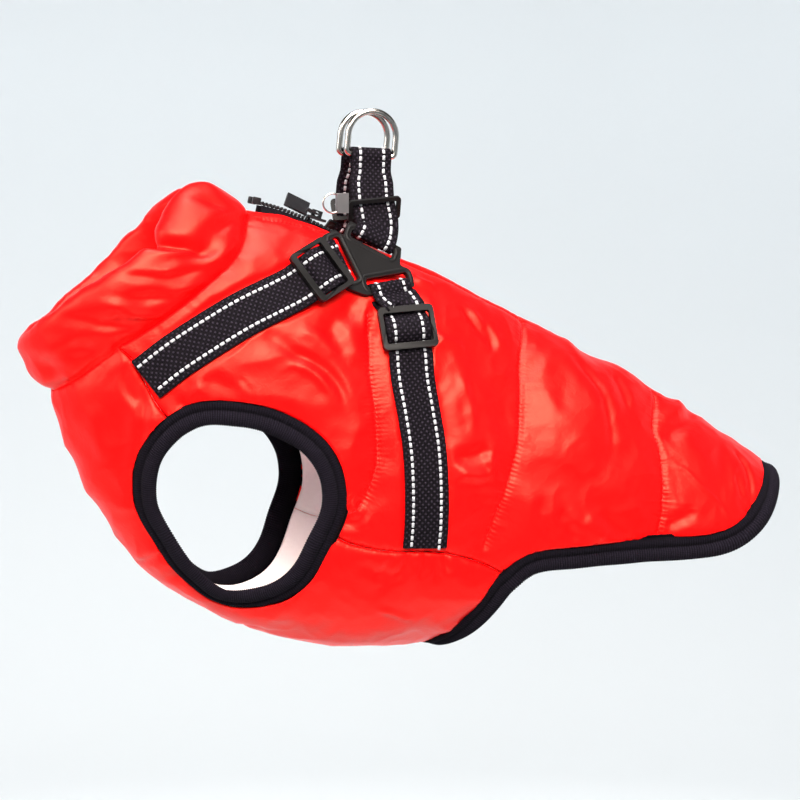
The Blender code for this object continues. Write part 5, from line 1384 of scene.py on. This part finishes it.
# shares of the half width and half thickness, once round the tape
WEB_SECTION = table(
    "WebPoint", "edge face",
    (-0.985, 0.7), (-0.93, 1.0), (-0.62, 0.96), (-0.3, 1.0), (0.0, 1.0), (0.3, 1.0), (0.62, 0.96),
    (0.93, 1.0), (0.985, 0.7), (1.0, 0.0), (0.985, -0.7), (0.93, -1.0), (0.5, -1.0), (0.0, -1.0),
    (-0.5, -1.0), (-0.93, -1.0), (-0.985, -0.7), (-1.0, 0.0)
)


def strap_rows(route, path, closed, widths=None):
    """Middle points, outward face directions, width directions and tape widths along a strap, every 1.2 mm."""
    path = np.array(path, dtype=float)
    keys = np.arange(len(path) + (1 if closed else 0), dtype=float)
    fine = through(path, np.linspace(0, keys[-1], 30 * len(path)), closed=closed)
    fine = spread(fine, int(lengths(fine)[-1] / 1.2) + 1)
    if closed:
        turn = steps_round(fine)
    else:
        turn = np.gradient(fine, axis=0)
    face = unit(np.stack([-turn[:, 1], turn[:, 0]], axis=1))
    middles, outs, across, halves = [], [], [], []
    for (s, height), (slip, rise) in zip(fine, face):
        point, normal, width = route.at(s)
        ahead, _, _ = route.at(s + 0.4)
        forward = (ahead - route.at(s - 0.4)[0]).normalized()
        middles.append(point + normal * height)
        outs.append(forward * slip + normal * rise)
        across.append(width)
        halves.append((widths(s) if widths else settings().harness.web_width / MM) / 2)
    return np.array(middles), unit(np.array(outs)), np.array(across), np.array(halves)


def strap_mesh(name, rows, closed):
    middles, outs, across, halves = rows
    half_wall = settings().harness.web_wall / MM / 2
    ring = np.array(WEB_SECTION + WEB_SECTION[:1])
    points = (middles[:, None, :] + across[:, None, :] * (halves[:, None] * ring[None, :, 0])[..., None]
              + outs[:, None, :] * (half_wall * ring[:, 1])[None, :, None])
    if closed:
        points[-1] = points[0]
    else:
        tips = [np.broadcast_to(points[k].mean(axis=0), (1, *points[k].shape)) for k in (0, -1)]
        points = np.concatenate([tips[0], points, tips[1]], axis=0)
    spans = (lengths(middles)[-1], 2 * settings().harness.web_width / MM + 3)
    return surface(name, points, spans=spans, close_x=closed, close_y=True)


def strap_dashes(rows, name):
    """The two rows of reflective dashes on the strap's outer face."""
    look = settings().harness
    middles, outs, across, halves = rows
    parts = []
    for edge in (-1, 1):
        shift = (halves - look.dash_inset / MM)[:, None] * edge
        line = middles + across * shift + outs * (look.web_wall / MM / 2)
        parts.append(stitches(line, np.gradient(line, axis=0), outs, look.dash_pitch / MM, DASH, "dash"))
    return joined(name, parts)


class JACKET_OT_webbing(bpy.types.Operator):
    """Weave the harness straps and their reflective dashes"""
    bl_idname = "jacket.webbing"
    bl_label = "Webbing"

    def execute(self, context):
        look = settings().harness
        # the last number sets how strongly the painted pebble highlight and painted shade show in the webbing's
        # colour
        tape = woven_tape("woven polyester webbing", look.webbing_colour, 1.3, 1.7, 0.6, 4.5)
        bright = thread("reflective thread", look.thread_colour, 0.35)
        chest, girth, ring = chest_route(), girth_route(), ring_route()
        pinch = ring.length - PINCH_START

        def ring_width(s):
            share = min(max((s - pinch + PINCH_RUN) / PINCH_RUN, 0.0), 1.0)
            return WEB_WIDTH + (RING_WEB_WIDTH - WEB_WIDTH) * share

        straps = (
            ("chest_strap", chest, adjuster_path(CHEST_START, CHEST_RISE, chest.length), False, None),
            ("girth_strap", girth, adjuster_path(GIRTH_START, GIRTH_RISE, girth.length), False, None),
            ("ring_strap", ring, ring_path(ring.length), True, ring_width),
        )
        for name, route, path, closed, widths in straps:
            rows = strap_rows(route, path, closed, widths)
            left = strap_mesh(f"{name}_webbing_left", rows, closed)
            dashes = strap_dashes(rows, f"{name}_dashes_left")
            for side in SIDES:
                if side == "right":
                    left = mirrored(left, f"{name}_webbing_right")
                    dashes = mirrored(dashes, f"{name}_dashes_right")
                piece(left.name, left, tape, (f"{name}_{side}",))
                piece(dashes.name, dashes, bright)
        return {"FINISHED"}


# ---- hard fittings -------------------------------------------------------------------------------------
def tube_loop(name, points, radius, sides, plane, flatten=1.0):
    """A round bar bent along a closed line of points that lies in one plane."""
    points = np.vstack([points, points[:1]])
    tangents = unit(steps_round(points))
    normal = unit(np.asarray(plane, dtype=float))
    outward = unit(np.cross(tangents, normal))
    angle = np.linspace(0, 2 * math.pi, sides + 1)
    grid = (points[:, None, :] + outward[:, None, :] * (radius * np.cos(angle))[None, :, None]
            + normal[None, None, :] * (radius * flatten * np.sin(angle))[None, :, None])
    grid[:, -1] = grid[:, 0]
    grid[-1] = grid[0]
    return surface(name, grid, close_x=True, close_y=True)


def rounded_loop(half_x, half_y, radius, corner=6):
    """A rounded rectangle's outline, in its own plane."""
    outline = []
    for k, (sx, sy) in enumerate(((1, 1), (-1, 1), (-1, -1), (1, -1))):
        for angle in np.linspace(k * math.pi / 2, (k + 1) * math.pi / 2, corner + 1):
            outline.append((sx * (half_x - radius) + radius * math.cos(angle),
                            sy * (half_y - radius) + radius * math.sin(angle)))
    return np.array(outline)


RIM_CORNER = 3.0
RIM_SWELL = 1.06         # the rim stands a little proud of the plate's bars


class JACKET_OT_fittings(bpy.types.Operator):
    """Mould the junction plates, adjusters and keepers"""
    bl_idname = "jacket.fittings"
    bl_label = "Fittings"

    def execute(self, context):
        black = moulded("moulded acetal fittings", settings().harness.plastic_colour)
        for side in SIDES:
            fitting(f"junction_{side}", f"junction_plate_{side}", black, 0.7)
            for name in ("chest_adjuster", "girth_adjuster"):
                fitting(f"{name}_{side}", f"{name}_frame_{side}", black, 0.8)
            fitting(f"keeper_{side}", f"keeper_frame_{side}", black, 0.6)
        self.rims(black)
        return {"FINISHED"}

    def rims(self, black):
        """Raised rims round the junction's three slots."""
        along, up, outward = (np.array(axis) for axis in plate_axes())
        parts = []
        for slot in (CHEST_SLOT, RING_SLOT, GIRTH_SLOT):
            half_x, half_y = slot.length / 2 + BAR_WIDTH / 2, SLOT_WIDTH / 2 + BAR_WIDTH / 2
            flat = rounded_loop(half_x, half_y, RIM_CORNER)
            turn = math.radians(slot.turn)
            x = slot.a + flat[:, 0] * math.cos(turn) - flat[:, 1] * math.sin(turn)
            y = slot.b + flat[:, 0] * math.sin(turn) + flat[:, 1] * math.cos(turn)
            points = np.array(PLATE_CENTRE) + along * x[:, None] + up * y[:, None]
            points = spread(np.vstack([points, points[:1]]), 90)[:-1]
            parts.append(tube_loop("rim", points, BAR_WIDTH / 2 - 0.05, 12, outward, RIM_SWELL))
        mesh = joined("junction_rims_left", parts)
        piece("junction_rims_left", mesh, black)
        piece("junction_rims_right", mirrored(mesh, "junction_rims_right"), black)


RING_WIRE = 1.8
RING_WIDTH = 31.0
RING_HEIGHT = 26.0


class JACKET_OT_rings(bpy.types.Operator):
    """Bend the two leash rings and the small wire ring"""
    bl_idname = "jacket.rings"
    bl_label = "Rings"

    def execute(self, context):
        bright = nickel()
        half = RING_WIDTH / 2 - RING_WIRE
        straight = RING_HEIGHT - RING_WIRE - half
        corner = 2.4
        line = [(x, 0.0) for x in np.linspace(-half + corner, half - corner, 20)]
        line += [(half - corner + corner * math.sin(a), corner - corner * math.cos(a))
                 for a in np.linspace(0.2, math.pi / 2, 7)]
        line += [(half * math.cos(a), straight + half * math.sin(a)) for a in np.linspace(0, math.pi, 40)]
        line += [(-half + corner - corner * math.sin(a), corner - corner * math.cos(a))
                 for a in np.linspace(math.pi / 2, 0.2, 7)]
        slope = Matrix.Rotation(RING_BAR_SLOPE, 3, "Y")
        for name, side in SIDES.items():
            centre = Vector((RING_BAR.x, -side * RING_BAR.y, RING_BAR.z))
            points = np.array([centre + slope @ Vector((x, 0.0, z)) for x, z in line])
            mesh = tube_loop(f"leash_ring_bar_{name}", points, RING_WIRE, 18, (0, 1, 0))
            piece(mesh.name, mesh, bright, (f"leash_ring_{name}",), f"ring_{name}")
        grey = nickel("brushed zinc tag", "#8d8a8c", 0.34)
        tag = fitting("keeper_tag", "keeper_tag_block", grey, 0.9)
        low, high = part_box("wire_ring")
        centre = (Vector(low) + Vector(high)) / 2 / MM
        radius = (high[0] - low[0]) / 2 / MM - 0.5
        circle = np.array([centre + Vector((math.cos(a), 0, math.sin(a))) * radius
                           for a in np.linspace(0, 2 * math.pi, 60, endpoint=False)])
        mesh = tube_loop("wire_ring_bright", circle, 0.5, 10, (0, 1, 0))
        piece("wire_ring_bright", mesh, bright, ("wire_ring",))
        return {"FINISHED"}


# ---- stage ---------------------------------------------------------------------------------------------
VIEW_MIDDLE = Vector((20.7, 0.0, -81.0))
FOCAL_PIXELS = 2275.0
FRAME_PIXELS = 800.0
SENSOR = 36.0
LIGHTS = table(
    "Light", "name azimuth elevation distance width height beam power tint",
    ("key", -8, 38, 1900, 1300, 1400, 54, 15, "#fff4ea"),
    ("left strip", -72, 22, 1900, 600, 1100, 60, 2.5, "#fff8f2"),
    ("top", -20, 84, 1900, 1200, 1200, 54, 7, "#ffffff")
)
BACKDROP_TURNS = (-60.0, 0.0, 60.0)
BACKDROP_POWER = 33.5
BACKDROP_SIZE = 1.0
BACKDROP_TILT = 84.0
BACKDROP_PLACE = (0.0, 0.6, 0.4)      # in metres, behind and above the jacket
WORLD_STRENGTH = 0.06


class JACKET_OT_stage(bpy.types.Operator):
    """Roll out the paper sweep, and set the lights and the camera"""
    bl_idname = "jacket.stage"
    bl_label = "Stage"

    def execute(self, context):
        self.sweep()
        self.lights()
        self.camera()
        scene = context.scene
        scene.view_settings.view_transform = "Standard"
        return {"FINISHED"}

    def sweep(self):
        """A wide floor that curves up into a low round wall."""
        floor_z, flat, bend, top = -0.95, 2.4, 1.2, 1.7
        profile = [(0.0, floor_z), (flat, floor_z)]
        profile += [(flat + bend * math.sin(a), floor_z + bend - bend * math.cos(a))
                    for a in np.linspace(0.1, math.pi / 2, 14)]
        profile.append((flat + bend, top))
        bm = bmesh.new()
        verts = [bm.verts.new((x, 0.0, z)) for x, z in profile]
        edges = [bm.edges.new(pair) for pair in zip(verts, verts[1:])]
        bmesh.ops.spin(bm, geom=verts + edges, axis=(0, 0, 1), cent=(0, 0, 0), angle=2 * math.pi, steps=96,
                       use_merge=True)
        bmesh.ops.remove_doubles(bm, verts=bm.verts[:], dist=0.0001)
        bmesh.ops.recalc_face_normals(bm, faces=bm.faces[:])
        bmesh.ops.reverse_faces(bm, faces=bm.faces[:])
        mesh = into_mesh(bm, "paper_sweep")
        put("paper_sweep", mesh)
        paper, _, shader = finish("matt paper", roughness=1.0)
        shader.inputs["Base Color"].default_value = (*settings().stage.floor_colour, 1.0)
        mesh.materials.append(paper)

    def lights(self):
        world = bpy.data.worlds.new("studio")
        bpy.context.scene.world = world
        world.use_nodes = True
        back = world.node_tree.nodes["Background"]
        back.inputs["Color"].default_value = (*linear("#eef2f4"), 1.0)
        back.inputs["Strength"].default_value = WORLD_STRENGTH
        for row in LIGHTS:
            lamp = bpy.data.lights.new(row.name, "AREA")
            lamp.shape = "RECTANGLE"
            lamp.size = row.width * MM
            lamp.size_y = row.height * MM
            lamp.energy = row.power
            lamp.color = linear(row.tint)
            lamp.spread = math.radians(row.beam)
            self.hang(lamp, self.aimed(row.azimuth, row.elevation, row.distance))
        for degrees in BACKDROP_TURNS:
            lamp = bpy.data.lights.new("backdrop", "AREA")
            lamp.size = BACKDROP_SIZE
            lamp.energy = BACKDROP_POWER
            turn = Matrix.Rotation(math.radians(degrees), 4, "Z")
            tilt = Matrix.Rotation(math.radians(BACKDROP_TILT), 4, "X")
            self.hang(lamp, turn @ Matrix.Translation(BACKDROP_PLACE) @ tilt)

    def hang(self, lamp, place):
        """Puts a lamp up where the camera doesn't see it."""
        made = put(lamp.name, lamp)
        made.matrix_world = place
        made.visible_camera = False

    def aimed(self, azimuth, elevation, distance):
        """A place on a sphere round the jacket, looking at its middle."""
        a, e = math.radians(azimuth), math.radians(elevation)
        back = Vector((math.sin(a) * math.cos(e), -math.cos(a) * math.cos(e), math.sin(e)))
        place = (VIEW_MIDDLE + back * distance) * MM
        return Matrix.Translation(place) @ back.to_track_quat("Z", "Y").to_matrix().to_4x4()

    def camera(self):
        look = settings().stage
        lens = bpy.data.cameras.new("camera")
        lens.sensor_fit = "HORIZONTAL"
        lens.sensor_width = SENSOR
        lens.lens = FOCAL_PIXELS / FRAME_PIXELS * SENSOR
        made = put("camera", lens)
        made.matrix_world = self.aimed(math.degrees(look.azimuth), math.degrees(look.elevation),
                                       look.distance / MM)
        bpy.context.scene.camera = made


class JACKET_PT_panel(bpy.types.Panel):
    bl_label = "Dog jacket"
    bl_idname = "JACKET_PT_panel"
    bl_space_type = "VIEW_3D"
    bl_region_type = "UI"
    bl_category = "Jacket"

    def draw(self, context):
        for group in (settings().cloth, settings().harness, settings().zip, settings().stage):
            box = self.layout.box()
            for name in group.bl_rna.properties.keys():
                if name not in ("rna_type", "name"):
                    box.prop(group, name)
        for operator in OPERATORS:
            self.layout.operator(operator.bl_idname)


OPERATORS = (JACKET_OT_shell, JACKET_OT_lining, JACKET_OT_bindings, JACKET_OT_collar, JACKET_OT_zip,
             JACKET_OT_webbing, JACKET_OT_fittings, JACKET_OT_rings, JACKET_OT_stage)
CLASSES = (ClothSettings, HarnessSettings, ZipSettings, StageSettings, JacketSettings, *OPERATORS,
           JACKET_PT_panel)


def register():
    for cls in CLASSES:
        bpy.utils.register_class(cls)
    bpy.types.Scene.jacket = bpy.props.PointerProperty(type=JacketSettings)


def unregister():
    del bpy.types.Scene.jacket
    for cls in reversed(CLASSES):
        bpy.utils.unregister_class(cls)


def main():
    register()
    for operator in OPERATORS:
        group, name = operator.bl_idname.split(".")
        getattr(getattr(bpy.ops, group), name)()


if __name__ == "__main__":
    main()
